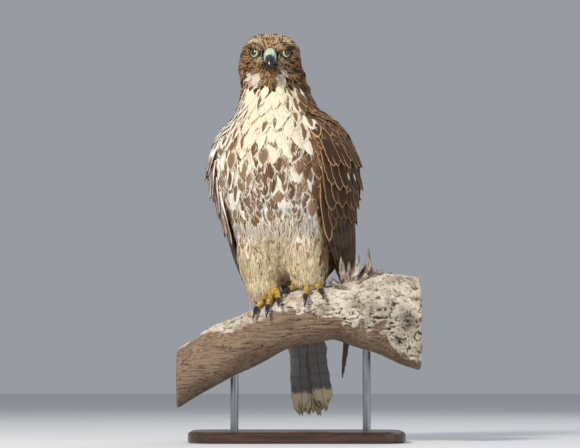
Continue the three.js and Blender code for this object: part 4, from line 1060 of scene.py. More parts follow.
# Loose wisps hang from the ends of the thighs over the feet. Each is one fine strand rooted in the thigh's skin,
# that falls free and leans in towards the ankle.
draw = np.random.default_rng(41)
coat = Coat()
WISPS = 1500
for side, foot_x in FEET:
    turn_round = draw.random(WISPS) * 2 * np.pi
    down_share = draw.random(WISPS)
    out_by = 16 + 5 * down_share
    from_leg = placed(np.stack([side * 31.0 + out_by * np.sin(turn_round), -4 - (out_by - 2) * np.cos(turn_round),
                                2 + 20 * down_share], -1))
    ankle = limb_point(foot_x, 0.0, 4.0)
    root_at, normal = nearest_on_skin(from_leg)
    fall = 14 + 11 * draw.random(WISPS)
    aim = unit((ankle - root_at) * (0.4, 0.4, 0), 1e-9)
    path = [root_at + normal * 0.4]
    for share in (0.35, 0.7, 1.0):
        path.append(root_at + normal * (1.6 + 2.2 * share) + np.array([0, 0, -1.0]) * (fall * share)[:, None]
                    + aim * (4.5 * share**2) + draw.normal(0, 0.9, (WISPS, 3)) * share)
    line = np.stack(path, 1)
    clear = limb_point(line[..., 0], np.zeros(line.shape[:2]), 1.5)[..., 2]
    near_top = np.abs(line[..., 1] - LIMB_Y) < 26
    line[..., 2] = np.where(near_top, np.maximum(line[..., 2], clear), line[..., 2])
    sideways = np.cross(np.array([0, 0, -1.0]), normal)[:, None]
    wide = np.array([0.2, 0.4, 0.3, 0.05])[None, :, None] * (0.7 + 0.7 * draw.random((WISPS, 1, 1)))
    strand = np.stack([line - sideways * wide, line + sideways * wide], 2).reshape(WISPS, 8, 3)
    own_ground, own_tone, _, own_kind = plumage(root_at)
    tint = np.clip(own_ground * (0.75 + 0.6 * draw.random((WISPS, 1))), 0, 1)
    coat.add(strand, STRAND_QUADS, STRAND_VANE, skin_unwrap(root_at), tint, own_tone,
             np.stack([np.zeros(WISPS), own_kind, draw.random(WISPS)], 1))
coat.made("thigh_wisps", body_feather, "leg_feathers")

# The wings are folded against the sides. The stiff flight feathers lie one over another, the innermost on top,
# and their roots are covered by five groups of coverts and, over the back, by the broad scapulars. Every feather
# is a thin curved blade with its shaft standing a little proud.


def blade(place_at, root, tip, half, rows, columns, blunt=False, worn=0.0, seed=0):
    """A flight feather's points, outer face then inner face, and their places across and along it."""
    draw = np.random.default_rng(seed)
    t = np.linspace(0, 1, rows)[:, None]
    across = np.linspace(-1, 1, columns)[None]
    height = root + (tip - root) * t + 0 * across
    left = np.abs(height - tip)
    if blunt:
        shape = np.interp(left, [0, 1.5, 3.5, 12, 30], [0.5, 0.74, 0.88, 0.99, 1])
    else:
        shape = np.interp(left, [0, 2, 5.5, 15, 34], [0.1, 0.4, 0.66, 0.93, 1])
    sideways = half * shape * across * np.where(across < 0, 0.82, 1.12)
    sideways = sideways * (1 + 0.05 * draw.normal(0, 1, (rows, columns)) * (np.abs(across) > 0.9))
    ragged = worn * draw.normal(0, 1, (1, columns)) * eased(t, 0.88, 1.0)
    rise = 0.28 * np.exp(-(across / 0.09) ** 2) - 0.55 * across**2
    outer = place_at(height + ragged, sideways, rise + 0.16)
    inner = place_at(height + ragged, sideways, rise - 0.16)
    rings = np.concatenate([outer, inner[:, ::-1]], 1)
    face = np.stack(np.broadcast_arrays((across + 1) / 2, t), -1)
    vane = np.concatenate([face, face[:, ::-1]], 1)
    upper = np.concatenate([np.ones((rows, columns)), np.zeros((rows, columns))], 1)
    return rings.reshape(-1, 3), vane.reshape(-1, 2), upper.reshape(-1)


def lay_blades(coat, blades, grounds, tones, marks, rows, columns):
    """Adds whole blades to a coat; a mark whose first number is missing gets 1 on the outer face, 0 on the inner."""
    n = len(blades)
    points, vane, upper = (np.array(values) for values in zip(*blades))
    points = placed(points.reshape(-1, 3)).reshape(n, -1, 3)
    mark = np.repeat(marks[:, None], points.shape[1], axis=1)
    if np.isnan(marks[:, 0]).any():
        mark[..., 0] = upper
    share = (np.arange(n)[:, None] + 0.04 + 0.44 * vane[..., 0] + 0.48 * (1 - upper)) / n
    bake = np.stack([share, 0.01 + 0.98 * vane[..., 1]], -1)
    sides = 2 * columns
    root_end, tip_end = np.array(end_cap(0, sides)), np.array(end_cap((rows - 1) * sides, sides))[:, ::-1]
    quads = np.concatenate([tube_faces(rows, sides)[:, ::-1], root_end, tip_end])
    coat.add(points, quads, vane, bake, grounds, tones, mark)


# Height, then the angle where the flight feathers begin and how far they fan round the wing.
wing_fan = curve_through([[-125, 88, 28], [-80, 92, 36], [-40, 93, 52], [0, 82, 82], [30, 67, 102], [60, 59, 108],
                          [100, 58, 108], [150, 57, 108]])
# How far round the outer flight feathers' tips are carried on each side, by height.
tip_carry = {1: curve_through([[-125, 2], [-60, 2], [10, 0], [60, 0]]),
             -1: curve_through([[-125, 86], [-90, 72], [-45, 42], [0, 18], [45, 4], [90, 0]])}
FLIGHT_TIPS = [-84, -116, -106, -88, -67, -43, -22, -3, 13, 28, 43, 58]
TIP_HELD = {1: 0, -1: 14}
FLIGHTS, FLIGHT_ROOT, FLIGHT_ROWS, COVERT_ROWS, WING_COLUMNS = 19, 128, 30, 16, 9
# Each group of coverts: how many, the heights of roots and tips, how far the tips climb from front to back, the
# front one's angle, how far they fan, how far off the flight feathers they lie, how far their tips lift, and half
# their width.
COVERTS = [(14, 122, 80, 4, 62, 103, 2.2, 0.5, 11.0), (16, 146, 99, 4, 57, 110, 3.0, 3.5, 10.5),
           (17, 166, 124, 3, 56, 112, 4.0, 7.0, 9.6), (19, 180, 148, 3, 57, 106, 4.8, 8.2, 8.2),
           (2, 128, 54, 20, 53, 7, 2.4, 0.5, 7.0)]


def flight_off(share):
    """How far off the bed a flight feather lies, by its share of the way from the outermost to the innermost."""
    return 2 + 1.25 * 11 * share


def on_wing(side, angle_at, off_at):
    """Places on a folded wing from height, distance sideways and distance out."""
    def place_at(height, sideways, rise):
        angle = np.radians(angle_at(height))
        flat = np.zeros_like(height)
        step = bed_point(1, height, angle + 0.05, flat) - bed_point(1, height, angle - 0.05, flat)
        arc = np.linalg.norm(step, axis=-1) / 0.1
        return bed_point(side, height, angle + sideways / arc, off_at(height) + rise)
    return place_at


def fine_barbs(node, connect, aside, onward, strength):
    """Slanting ridges as fine as a stiff feather's barbs."""
    slant = number(node, "SUBTRACT", number(node, "MULTIPLY", onward, 900.0), number(node, "MULTIPLY", aside, 60.0))
    roughen(node, connect, number(node, "SINE", slant), strength, 0.0002)


flight_feather, node, connect = finish_for("flight_feathers", Roughness=0.58, Specular_IOR_Level=0.3)
calc = partial(number, node)
aside, onward = vane_places(node)
ground, tone, (outer_face, _, _) = stored(node)
grain = grained(node, 380, 3)
bars = calc("SINE", calc("ADD", calc("MULTIPLY", onward, 56.0), calc("MULTIPLY", grain, 1.8)))
barred = spread(node, bars, 0.15, 0.75)
vane_tone = blended(node, barred, blended(node, 0.42, tone, "5e4733"), tone)
rim = spread(node, calc("ADD", aside, calc("MULTIPLY", grain, 0.12)), 0.9, 1.0)
edged = blended(node, rim, vane_tone, ground)
faced = blended(node, outer_face, blended(node, 0.65, edged, "a39482"), edged)
connect(blended(node, spread(node, aside, 0.05, 0.02), faced, "241811"), "Base Color")
fine_barbs(node, connect, aside, onward, 0.2)

for side, hand in ((1, "left"), (-1, "right")):
    blades = []
    for i in range(FLIGHTS):
        share = i / (FLIGHTS - 1)
        tip = np.interp(share, np.linspace(0, 1, len(FLIGHT_TIPS)), FLIGHT_TIPS) + TIP_HELD[side] * (1 - share)

        def angle_at(height, share=share):
            front, fan = wing_fan(height)
            return front + fan * share + tip_carry[side](height)[0] * (1 - share)

        half = 8.6 if share < 0.42 else 10.6
        place_at = on_wing(side, angle_at, lambda h, s=share: flight_off(s) + 0 * h)
        blades.append(blade(place_at, FLIGHT_ROOT, tip, half, FLIGHT_ROWS, WING_COLUMNS, worn=0.5, seed=i))
    shade = (0.9 + 0.2 * rng.random(FLIGHTS))[:, None]
    marks = np.stack([np.full(FLIGHTS, np.nan), np.linspace(0, 1, FLIGHTS), rng.random(FLIGHTS)], 1)
    coat = Coat()
    lay_blades(coat, blades, hexed("7a5b3e") * shade, hexed("2e2018") * shade, marks, FLIGHT_ROWS, WING_COLUMNS)
    flights = coat.made(f"flight_feathers_{hand}", flight_feather, "wing_feathers")
    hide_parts(f"wing_{hand}")

    blades, grounds, tones, marks = [], [], [], []
    for tier, (count, root, tip, climb, front, fan, off, lift, half) in enumerate(COVERTS):
        for i in range(count):
            share = i / (count - 1)
            angle = front + fan * share + rng.normal(0, 0.9)
            flight_front, flight_fan = wing_fan(float(tip))
            over = float(np.clip((angle + 8 - flight_front) / flight_fan, 0, 1))
            end = tip + climb * share + rng.normal(0, 3.0)

            def off_at(h, root=root, tip=tip, over=over, off=off, lift=lift):
                return flight_off(over) + off + lift * np.clip((root - h) / (root - tip), 0, 1.1) - 0.02 * i

            place_at = on_wing(side, lambda h, a=angle: a + 0 * h, off_at)
            blades.append(blade(place_at, root, end, half, COVERT_ROWS, WING_COLUMNS, worn=0.7, seed=100 * tier + i))
            if side < 0 and angle < 104:
                ground, tone, mark = hexed("f1ebdf"), hexed("7a5b42"), (1.0 + 0.15 * rng.random(), 0.0, rng.random())
            elif side > 0 and tier == 2 and 70 < angle < 112 and rng.random() < 0.8:
                ground, tone, mark = hexed("55402f"), hexed("efe6d4"), (0.26, 0.0, rng.random())
            else:
                brown = np.array(hexed("8a6848"))
                ground = brown + (np.array(hexed("bf9a72")) - brown) * min(1, tier / 2.2 * rng.random() ** 0.6)
                tone, mark = hexed("4b3526"), (0.7 + 0.16 * rng.random(), 1.0, rng.random())
            grounds.append(ground)
            tones.append(tone)
            marks.append(mark)
    shade = (0.86 + 0.24 * rng.random(len(blades)))[:, None]
    coat = Coat()
    grounds, tones, marks = np.array(grounds), np.array(tones), np.array(marks)
    lay_blades(coat, blades, grounds * shade, tones * shade, marks, COVERT_ROWS, WING_COLUMNS)
    coat.made(f"wing_coverts_{hand}", body_feather, "wing_feathers")


def scapular_spacing(places):
    return np.full(len(places), 11.5)


def scapular_wanted(places):
    height, turn, _, _, _ = zones(places)
    return np.minimum(eased(np.abs(turn) - 104, 0, 10) - 0.5, eased(height, 118, 130) - 0.5) * (height < 215)


roots, out = feather_roots(scapular_spacing, scapular_wanted, 9000, 31)
marks = plumage(roots)
coat = Coat()
lay_feathers(coat, roots, out, 48 + 8 * rng.random(len(roots)), np.full(len(roots), 25.0), coat_depth(roots) * 1.25,
             np.full(len(roots), 0.1), marks, barbs=26, seed=33, yaw=6)
coat.made("scapulars", body_feather, "brown_feathers")

# The tail is closed: twelve broad, nearly square-ended feathers, the middle pair on top. It is red-brown above
# with narrow dark bars, grey below, and its buff tips are worn ragged.
TAIL_PAIRS, TAIL_ROOT, TAIL_TIP, TAIL_ROWS, TAIL_COLUMNS = 6, 34, -152, 36, 13
blades = []
for pair in range(TAIL_PAIRS):
    for side in (-1, 1):
        level = pair * 2 + (side > 0)

        def tail_place(height, sideways, rise, pair=pair, side=side, level=level):
            share = (TAIL_ROOT - height) / (TAIL_ROOT - TAIL_TIP)
            x = side * (1.6 + pair * 2.7) * (0.45 + 0.55 * share) + sideways * side
            y = 60 + (TAIL_ROOT - height) * 0.155 + (5.5 - level) * 0.92
            return np.stack([x, y - 0 * sideways + rise, height], -1)

        tip = TAIL_TIP - (4 if side < 0 else 0) + pair * 0.7
        blades.append(blade(tail_place, TAIL_ROOT, tip, 12.0, TAIL_ROWS, TAIL_COLUMNS, blunt=True, worn=5.0,
                            seed=500 + level))
n = len(blades)
marks = np.stack([np.full(n, np.nan), np.repeat(np.linspace(0, 1, TAIL_PAIRS), 2), rng.random(n)], 1)
coat = Coat()
rufous, grey = (np.tile(hexed(code), (n, 1)) for code in ("8a4526", "7d7b7c"))
lay_blades(coat, blades, rufous, grey, marks, TAIL_ROWS, TAIL_COLUMNS)
tail_feather, node, connect = finish_for("tail_feathers", Roughness=0.6, Specular_IOR_Level=0.28)
calc = partial(number, node)
aside, onward = vane_places(node)
ground, tone, (outer_face, _, _) = stored(node)
worn_to = calc("ADD", onward, calc("MULTIPLY", grained(node, 260, 4), 0.055))
barred = spread(node, calc("SINE", calc("MULTIPLY", worn_to, 88.0)), 0.55, 0.85)
above = blended(node, barred, ground, "3b2218")
below = blended(node, calc("MULTIPLY", barred, 0.28), tone, "57504a")
faced = blended(node, outer_face, below, above)
last_bar = calc("MULTIPLY", spread(node, worn_to, 0.805, 0.825), spread(node, worn_to, 0.875, 0.86))
banded = blended(node, calc("MULTIPLY", calc("MULTIPLY", last_bar, 0.6), outer_face), faced, "3d2c22")
# The tips are buff, but they are painted paler than their own buff: painted light, standing for sun falling on them.
tips_with_painted_light = blended(node, spread(node, worn_to, 0.905, 0.925), banded, "f4e3bd")
edged = blended(node, spread(node, aside, 0.88, 1.0, 0.55), tips_with_painted_light, "b7a68b")
connect(blended(node, spread(node, aside, 0.05, 0.02, 0.7), edged, "3a2c22"), "Base Color")
fine_barbs(node, connect, aside, onward, 0.22)
tail = coat.made("tail_feathers_closed", tail_feather, "tail_feathers")
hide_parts("tail")

# The eyes are glass, with a pale yellow iris, a wide pupil and a dark rim, under a clear bulged front. Each sits
# behind a ring of dark, finely wrinkled lid.


def revolved(radius, along, sides, middle, axis):
    """Rings of points round an axis, from distances out from it and along it."""
    axis = unit(axis)
    across = unit(np.cross(axis, (0, 0, 1.0)))
    up = np.cross(across, axis)
    angle = round_angles(sides)
    ring = across * np.cos(angle)[:, None] + up * np.sin(angle)[:, None]
    return middle + ring[None] * np.asarray(radius)[:, None, None] + axis * np.asarray(along)[:, None, None]


def capped_tube(rings, sides):
    """Quads of a tube of rings of points, with both ends filled."""
    return np.concatenate([tube_faces(rings, sides), end_cap(0, sides), end_cap((rings - 1) * sides, sides)])


glass_eye, node, connect = finish_for("glass_eye", Roughness=0.2, Coat_Weight=1.0, Coat_Roughness=0.02,
                                      Specular_IOR_Level=0.6)
from_axis = node("Attribute", attribute_name="from_axis")["Fac"]
fibres = grained(node, 2200, 3)
fibrous = number(node, "ADD", from_axis, number(node, "MULTIPLY", fibres, 0.05))
iris = ramp(node, fibrous, [(0.0, (0.004, 0.004, 0.005)), (0.43, (0.004, 0.004, 0.005)), (0.46, "6f6a33"),
                            (0.5, "c2be7a"), (0.6, "d6d398"), (0.67, "8f8a4c"), (0.72, "17130f"), (1.0, "0d0b09")])
connect(iris, "Base Color")
eye_sides, eye_rings = 48, 44
polar = np.linspace(0.01, math.pi - 0.01, eye_rings)
for eye, gaze, hand in zip(EYES, GAZES, ("right", "left")):
    bulge = 8.4 + 0.45 * np.exp(-(polar / 0.62) ** 4)
    points = revolved(bulge * np.sin(polar), bulge * np.cos(polar), eye_sides, eye, gaze).reshape(-1, 3)
    ball = mesh_piece(f"glass_eye_{hand}", points, capped_tube(eye_rings, eye_sides), [glass_eye])
    painted(ball, "from_axis", np.repeat(np.where(polar < 1.57, np.sin(polar), 1.0), eye_sides))
    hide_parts(f"eye_{hand}")

lid_skin, node, connect = finish_for("bare_lid_skin", Roughness=0.55)
pleats = grained(node, 900, 4)
connect(ramp(node, pleats, [(0.35, "1d1814"), (0.6, "3a322a"), (0.75, "5b5342")]), "Base Color")
roughen(node, connect, pleats, 0.5, 0.0003)
# The lid's section, out from the gaze and along it, and how much of the wrinkling each place of it takes.
LID_SIDES = 72
LID_PROFILE = np.array([(6.2, 4.6, 0), (5.95, 5.9, 0), (6.1, 6.75, 0.5), (6.6, 7.15, 1), (7.3, 7.0, 1),
                        (8.0, 6.1, 0.7), (8.4, 4.6, 0.3), (8.4, 2.6, 0), (7.2, 2.2, 0)])
for eye, gaze, hand in zip(EYES, GAZES, ("right", "left")):
    radius, along_gaze, wrinkled = LID_PROFILE.T
    around = round_angles(LID_SIDES)
    wrinkle = 0.1 * np.sin(around * 23) + 0.07 * np.sin(around * 9)
    ring = revolved(radius, along_gaze, LID_SIDES, eye, gaze)
    ring = ring + gaze * wrinkle[None, :, None] * wrinkled[:, None, None]
    last = len(LID_PROFILE) - 1
    faces = np.concatenate([tube_faces(last + 1, LID_SIDES), band(last * LID_SIDES, 0, LID_SIDES)])
    lid = mesh_piece(f"eyelids_{hand}", ring.reshape(-1, 3), faces[:, ::-1], [lid_skin])

# The bill is horn, black at the hook and slate at its root, over which the soft waxy cere is drawn, pale green
# with a nostril on each side. A thin lip of bare skin runs back from the corner of the mouth.
# A place along the bill, then its middle from front to back and up, half its width and half its depth.
bill_line = curve_through([
    [0, -28, 1.5, 10.5, 10.4], [0.25, -36, 0.2, 9.0, 9.6], [0.45, -43.5, -4.2, 7.2, 8.2],
    [0.62, -49.6, -9.2, 5.6, 6.8], [0.78, -53.4, -14.8, 4.0, 5.0], [0.9, -54.8, -19.6, 2.4, 3.1],
    [1, -54.4, -24.0, 0.7, 0.9],
])
BILL_SIDES = 56


def bill_rings(place, grow):
    y, z, wide, high = bill_line(place)
    (ya, za, _, _), (yb, zb, _, _) = bill_line(place - 0.02), bill_line(place + 0.02)
    length = np.hypot(yb - ya, zb - za)
    up = np.stack([0 * y, (zb - za) / length, -(yb - ya) / length], -1)
    angle = round_angles(BILL_SIDES)[None]
    keel = 1 - 0.16 * np.clip(np.cos(angle), 0, 1) ** 3 * eased(place, 0.4, 0.6)[:, None]
    x = (wide[:, None] + grow[:, None]) * signed_power(np.sin(angle), 0.9) * keel
    rise = (high[:, None] + grow[:, None]) * signed_power(np.cos(angle), 0.9)
    middle = np.stack([0 * y, y, z], -1)
    return middle[:, None] + np.stack([x, 0 * x, 0 * x], -1) + up[:, None] * rise[..., None]


def tubes_piece(name, tubes, material, slot, **marks):
    """Closed tubes of rings of points joined as one piece, with numbers stored at its points."""
    points, faces, start = [], [], 0
    for rings in tubes:
        faces.append(capped_tube(*rings.shape[:2]) + start)
        points.append(rings.reshape(-1, 3))
        start += len(points[-1])
    piece = mesh_piece(name, np.concatenate(points), np.concatenate(faces), [material])
    form = bmesh.new()
    form.from_mesh(piece.data)
    bmesh.ops.recalc_face_normals(form, faces=form.faces)
    form.to_mesh(piece.data)
    form.free()
    for key, values in marks.items():
        painted(piece, key, values.ravel())
    return piece


cere_wax, node, connect = finish_for("waxy_cere", Roughness=0.42, Coat_Weight=0.25, Coat_Roughness=0.3,
                                     Subsurface_Weight=0.12, Subsurface_Scale=0.002)
wax = grained(node, 320, 4)
cere_tone = ramp(node, wax, [(0.3, "9db39b"), (0.5, "bccfb2"), (0.7, "dbe4c8")])
# The nostrils are painted near-black: painted shade for the inside of openings that are only shallow dents in the cere.
low_down, painted_nostril_shade = (node("Attribute", attribute_name=key)["Fac"] for key in ("low", "nostril"))
connect(blended(node, painted_nostril_shade, blended(node, low_down, cere_tone, "b9b776"), "12100e"), "Base Color")
roughen(node, connect, wax, 0.35, 0.0004)
place = np.linspace(0.05, 0.5, 60)
swell = 0.22 * np.sin(np.pi * eased(place, 0.3, 0.5)) + np.where(place > 0.485, -0.35 * (place - 0.485) / 0.015, 0)
rings = bill_rings(place, swell)
nostril = np.zeros(rings.shape[:2])
for side in (-1, 1):
    away = rings - np.array([side * 7.4, -41.2, 0.2])
    nostril += np.exp(-((away[..., 1] / 2.1) ** 2 + (away[..., 2] / 1.35) ** 2 + (away[..., 0] / 3.0) ** 2) ** 2)
rings[..., 0] -= np.sign(rings[..., 0]) * nostril * 1.5
rings[..., 0] *= (1 - 0.16 * eased(0.44 - place, 0, 0.16))[:, None]
cere = tubes_piece("cere_over_bill", [rings + HEAD_AT], cere_wax, "cere_skin",
                   nostril=np.clip(nostril * 1.2, 0, 1), low=eased(-rings[..., 2], 2, 9))
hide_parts("cere")

bill_horn, node, connect = finish_for("black_horn", Roughness=0.24, Coat_Weight=0.35, Coat_Roughness=0.12)
layers = grained(node, 1, 4, (300, 900, 260))
to_tip = node("Attribute", attribute_name="place")["Fac"]
tip_ward = number(node, "ADD", to_tip, number(node, "MULTIPLY", layers, 0.2))
connect(ramp(node, tip_ward, [(0.1, "4e5a68"), (0.34, "2f363f"), (0.6, "16181c"), (0.95, "0c0d10")]), "Base Color")
roughen(node, connect, layers, 0.15, 0.0003)
place = np.linspace(0.47, 1.0, 60)
rings = bill_rings(place, np.full(60, -0.35) * eased(0.56 - place, 0, 0.05))
hook = tubes_piece("bill_hook", [rings + HEAD_AT], bill_horn, "horn",
                   place=np.repeat((place - 0.47) / 0.53, BILL_SIDES))
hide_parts("bill_upper")
lower_line = curve_through([[0, -26, -11.6, 9.4, 3.2], [0.4, -36, -12.8, 7.4, 3.2], [0.75, -43, -14.2, 5.0, 2.6],
                            [1, -48, -15.4, 2.2, 1.2]])
place = np.linspace(0, 1, 28)
y, z, wide, high = lower_line(place)
angle = round_angles(BILL_SIDES)[None]
x, y, z = wide[:, None] * np.sin(angle), y[:, None] + 0 * angle, z[:, None] + high[:, None] * np.cos(angle)
rings = np.stack([x, y, z], -1) + HEAD_AT
lower = tubes_piece("bill_lower_scoop", [rings], bill_horn, "horn", place=np.repeat(place * 0.6, BILL_SIDES))
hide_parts("bill_lower")

lip_skin, node, connect = finish_for("yellow_lip_skin", Roughness=0.5)
creases = grained(node, 800, 3)
connect(ramp(node, creases, [(0.3, "5b5238"), (0.6, "8f8a62"), (0.8, "b4b58e")]), "Base Color")
roughen(node, connect, creases, 0.4, 0.0003)


def tube_along(path, radii, sides):
    """Rings square to a path, each with its own radius."""
    path, radii = np.asarray(path, float), np.asarray(radii, float)
    ahead = unit(np.gradient(path, axis=0))
    across = unit(np.cross(ahead, (0.1, 0.2, 1.0)))
    up = np.cross(across, ahead)
    angle = round_angles(sides)
    return (path[:, None] + radii[:, None, None] * (across[:, None] * np.cos(angle)[None, :, None]
                                                    + up[:, None] * np.sin(angle)[None, :, None]))


for side, hand in ((-1, "right"), (1, "left")):
    along_lip = np.linspace(0, 1, 14)
    guide = HEAD_AT + np.stack([side * (8.4 + 13.5 * along_lip), -37 + 13 * along_lip, -6.4 - 1.8 * along_lip**2], -1)
    at, normal = nearest_on_skin(guide)
    lie = at + normal * 0.9
    lie[:3] = guide[:3] * 0.75 + lie[:3] * 0.25
    lip = tube_along(lie, 1.15 * (1 - along_lip) ** 0.5 + 0.12, 12)
    tubes_piece(f"mouth_corner_{hand}", [lip], lip_skin, "cere_skin")

# The feet are bare from the feathered shanks down: dull yellow skin in fine scales, a row of broad scutes along
# the top of each toe, and black claws that hook over the bark.
# For each toe: where it starts beside the foot's middle and where it ends along the limb, and the angles round the
# limb from which and to which it wraps.
TOE_STEPS, TOE_SIDES, CLAW_STEPS, CLAW_SIDES = 34, 20, 22, 18
HIND = ("hind", 0, 3, -14, -58)
TOES = {
    "right": [("inner", 3, 5, 8, 44), ("middle", 0, -8, 10, 50), ("outer", -4, -22, 8, 38), HIND],
    "left": [("inner", -4, -25, 4, 16), ("middle", 0, -4, 10, 50), ("outer", 4, 15, 8, 42), HIND],
}
toe_skin, node, connect = finish_for("scaly_toe_skin", Roughness=0.6, Specular_IOR_Level=0.4)
scale_edges = node("TexVoronoi", {"Vector": node("TexCoord")["Object"], "Scale": 620}, feature="DISTANCE_TO_EDGE")[0]
grime = grained(node, 160, 4)
toe_tone = ramp(node, grime, [(0.3, "8a6a2c"), (0.48, "c29c45"), (0.68, "dcbf6a")])
grooved = ramp(node, scale_edges, [(0.0, (0.35, 0.28, 0.2)), (0.12, (0.9, 0.88, 0.84)), (0.4, (1.05, 1.04, 1.0))])
connect(blended(node, 0.85, toe_tone, grooved, blend_type="MULTIPLY"), "Base Color")
roughen(node, connect, scale_edges, 0.6, 0.0005)


def toe_line(foot_x, start, across, first, last):
    """A toe's middle line, how thick it is along it, and points straight above it."""
    t = np.linspace(0, 1, TOE_STEPS)
    radius = 4.7 * (1 - 0.28 * t) + 0.45 * np.cos(2 * np.pi * t * 3)
    x = foot_x + start + (across - start) * t**0.85
    angle = np.radians(first + (last - first) * t)
    return limb_point(x, angle, radius + 0.3), radius, limb_point(x, angle, radius + 30)


def rolled(vector, degrees):
    """A direction turned about the X axis."""
    c, s = math.cos(math.radians(degrees)), math.sin(math.radians(degrees))
    return np.array([vector[0], c * vector[1] - s * vector[2], s * vector[1] + c * vector[2]])


claw_horn, node, connect = finish_for("claw_horn", Roughness=0.3, Coat_Weight=0.25, Coat_Roughness=0.2)
worn = grained(node, 1, 4, (700, 250, 250))
connect(ramp(node, worn, [(0.3, "121316"), (0.6, "24272c"), (0.8, "4b4f55")]), "Base Color")
roughen(node, connect, worn, 0.2, 0.0003)
claw_tubes, scute_seats = [], []
for (_, foot_x), (hand, toes) in zip(FEET, TOES.items()):
    toe_tubes = []
    pole = np.linspace(0.06, math.pi - 0.06, 16)
    ball = revolved(np.sin(pole), np.cos(pole), 24, np.zeros(3), np.array([0, 0.001, 1.0])) * (8.5, 10.5, 7.0)
    for _, start, across, first, last in toes:
        line, radius, above = toe_line(foot_x, start, across, first, last)
        rounded = radius * np.append(np.ones(TOE_STEPS - 2), [0.86, 0.5])
        toe_tubes.append(tube_along(line, rounded, TOE_SIDES))
        up = unit(above - line)
        for i in range(3, TOE_STEPS - 1, 2):
            scute_seats.append((line[i] + up[i] * (radius[i] - 0.25), line[i] - line[i - 1], up[i], radius[i]))
        sense = math.copysign(1, last)
        heading = unit((line[-1] - line[-6]) * (0.4, 1, 1))
        spot = line[-1] + heading * 0.2
        heading = rolled(heading, -sense * 26)
        path = []
        for _ in range(CLAW_STEPS + 1):
            path.append(spot.copy())
            heading = rolled(heading, sense * 66 / CLAW_STEPS)
            spot = spot + heading * 20.5 / CLAW_STEPS
        claw_radius = 3.4 * (1 - np.linspace(0, 1, CLAW_STEPS + 1)) ** 0.7 + 0.12
        claw_tubes.append(tube_along(path, claw_radius, CLAW_SIDES))
    foot = tubes_piece(f"bare_foot_{hand}", toe_tubes, toe_skin, "foot_skin")
    tubes_piece(f"foot_ball_{hand}", [ball + limb_point(foot_x, 0.0, 6.2)], toe_skin, "foot_skin")
    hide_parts(f"foot_{hand}")
claws = tubes_piece("claws", claw_tubes, claw_horn, "horn")
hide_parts(*[f"claw_{hand}_{toe[0]}" for hand, toes in TOES.items() for toe in toes])

# The scutes are broad horny plates in a row along the top of every toe. They are one small domed plate, seated
# half sunk in the skin at even steps and made narrower as the toe narrows.
seats = bpy.data.meshes.new("scute_seats")
seats.from_pydata([tuple(s[0] / 1000) for s in scute_seats], [], [])
turns = [Matrix((unit(np.cross(ahead, up)), unit(ahead), up)).transposed().to_euler()
         for _, ahead, up, _ in scute_seats]
seats.attributes.new("turn", "FLOAT_VECTOR", "POINT").data.foreach_set("vector", [c for t in turns for c in t])
seats.attributes.new("wide", "FLOAT", "POINT").data.foreach_set("value", [s[3] / 1000 for s in scute_seats])
scutes = bpy.data.objects.new("toe_scutes_seats", seats)
bpy.context.collection.objects.link(scutes)
plates = bpy.data.node_groups.new("scutes_along_toes", "GeometryNodeTree")
plates.interface.new_socket("Geometry", in_out="INPUT", socket_type="NodeSocketGeometry")
PLATE = {"Plate length": 0.00125, "Plate height": 0.00062}
for name in PLATE:
    plates.interface.new_socket(name, in_out="INPUT", socket_type="NodeSocketFloat")
plates.interface.new_socket("Geometry", in_out="OUTPUT", socket_type="NodeSocketGeometry")


def geo(kind, inputs=None, **settings):
    made = plates.nodes.new(kind)
    for key, value in settings.items():
        setattr(made, key, value)
    for key, value in (inputs or {}).items():
        if isinstance(value, bpy.types.NodeSocket):
            plates.links.new(value, made.inputs[key])
        else:
            made.inputs[key].default_value = value
    return made.outputs


given = geo("NodeGroupInput")
dome = geo("GeometryNodeMeshUVSphere", {"Segments": 12, "Rings": 6, "Radius": 1.0})[0]
wide = geo("GeometryNodeInputNamedAttribute", {"Name": "wide"}, data_type="FLOAT")[0]
turn = geo("GeometryNodeInputNamedAttribute", {"Name": "turn"}, data_type="FLOAT_VECTOR")[0]
half_toe = geo("ShaderNodeMath", {0: wide, 1: 0.78}, operation="MULTIPLY")[0]
size = geo("ShaderNodeCombineXYZ", {0: half_toe, 1: given["Plate length"], 2: given["Plate height"]})[0]
seated = geo("GeometryNodeInstanceOnPoints",
             {"Points": given["Geometry"], "Instance": dome, "Rotation": turn, "Scale": size})[0]
solid_plates = geo("GeometryNodeRealizeInstances", {0: seated})[0]
smooth_plates = geo("GeometryNodeSetShadeSmooth", {0: solid_plates})[0]
done = geo("GeometryNodeSetMaterial", {"Geometry": smooth_plates, "Material": toe_skin})[0]
plates.links.new(done, plates.nodes.new("NodeGroupOutput").inputs[0])
rule = scutes.modifiers.new("scutes", "NODES")
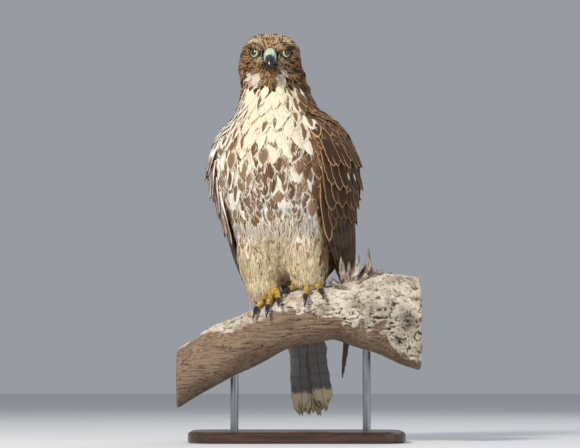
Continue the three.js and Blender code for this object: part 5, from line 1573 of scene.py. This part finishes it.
rule.node_group = plates
for item in plates.interface.items_tree:
    if item.name in PLATE:
        rule[item.identifier] = PLATE[item.name]
plate_mesh = bpy.data.meshes.new_from_object(scutes.evaluated_get(bpy.context.evaluated_depsgraph_get()))
bpy.data.objects.remove(scutes)
toe_scutes = bpy.data.objects.new("toe_scutes", plate_mesh)
bpy.context.collection.objects.link(toe_scutes)
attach(toe_scutes, "root")

# The display stands on a wide, plain floor of pale paper in even, pale light. One soft lamp lights the hawk from
# the upper left, a wide, weaker one from the right, and a third from behind.
floor_form = bmesh.new()
bmesh.ops.create_grid(floor_form, x_segments=8, y_segments=8, size=14)
floor_mesh = bpy.data.meshes.new("floor")
floor_form.to_mesh(floor_mesh)
floor_form.free()
floor = bpy.data.objects.new("floor", floor_mesh)
bpy.context.collection.objects.link(floor)
paper, node, connect = finish_for("pale_paper", Roughness=0.9)
mottle = grained(node, 2.0, 2)
connect(ramp(node, mottle, [(0.3, (0.74, 0.75, 0.765)), (0.7, (0.77, 0.78, 0.795))]), "Base Color")
floor_mesh.materials.append(paper)


def lamp(name, place, aim, size, power, colour):
    light = bpy.data.lights.new(name, "AREA")
    light.size = size
    light.energy = power
    light.color = colour
    held = bpy.data.objects.new(name, light)
    held.location = place
    held.rotation_euler = (Vector(aim) - Vector(place)).to_track_quat("-Z", "Y").to_euler()
    bpy.context.collection.objects.link(held)


lamp("window_light", (-1.25, -1.7, 1.75), (0, 0, 0.3), 0.5, 58, (1, 0.955, 0.88))
lamp("fill_light", (2.1, -1.6, 1.0), (0, 0, 0.3), 2.0, 13, (0.88, 0.94, 1))
lamp("back_light", (0.9, 1.3, 1.9), (0, 0, 0.35), 1.0, 12, (1, 1, 1))
world = bpy.data.worlds.new("studio")
world.use_nodes = True
world.node_tree.nodes["Background"].inputs["Color"].default_value = (0.86, 0.91, 1, 1)
world.node_tree.nodes["Background"].inputs["Strength"].default_value = 0.36
bpy.context.scene.world = world
bpy.context.scene.view_settings.view_transform = "Standard"
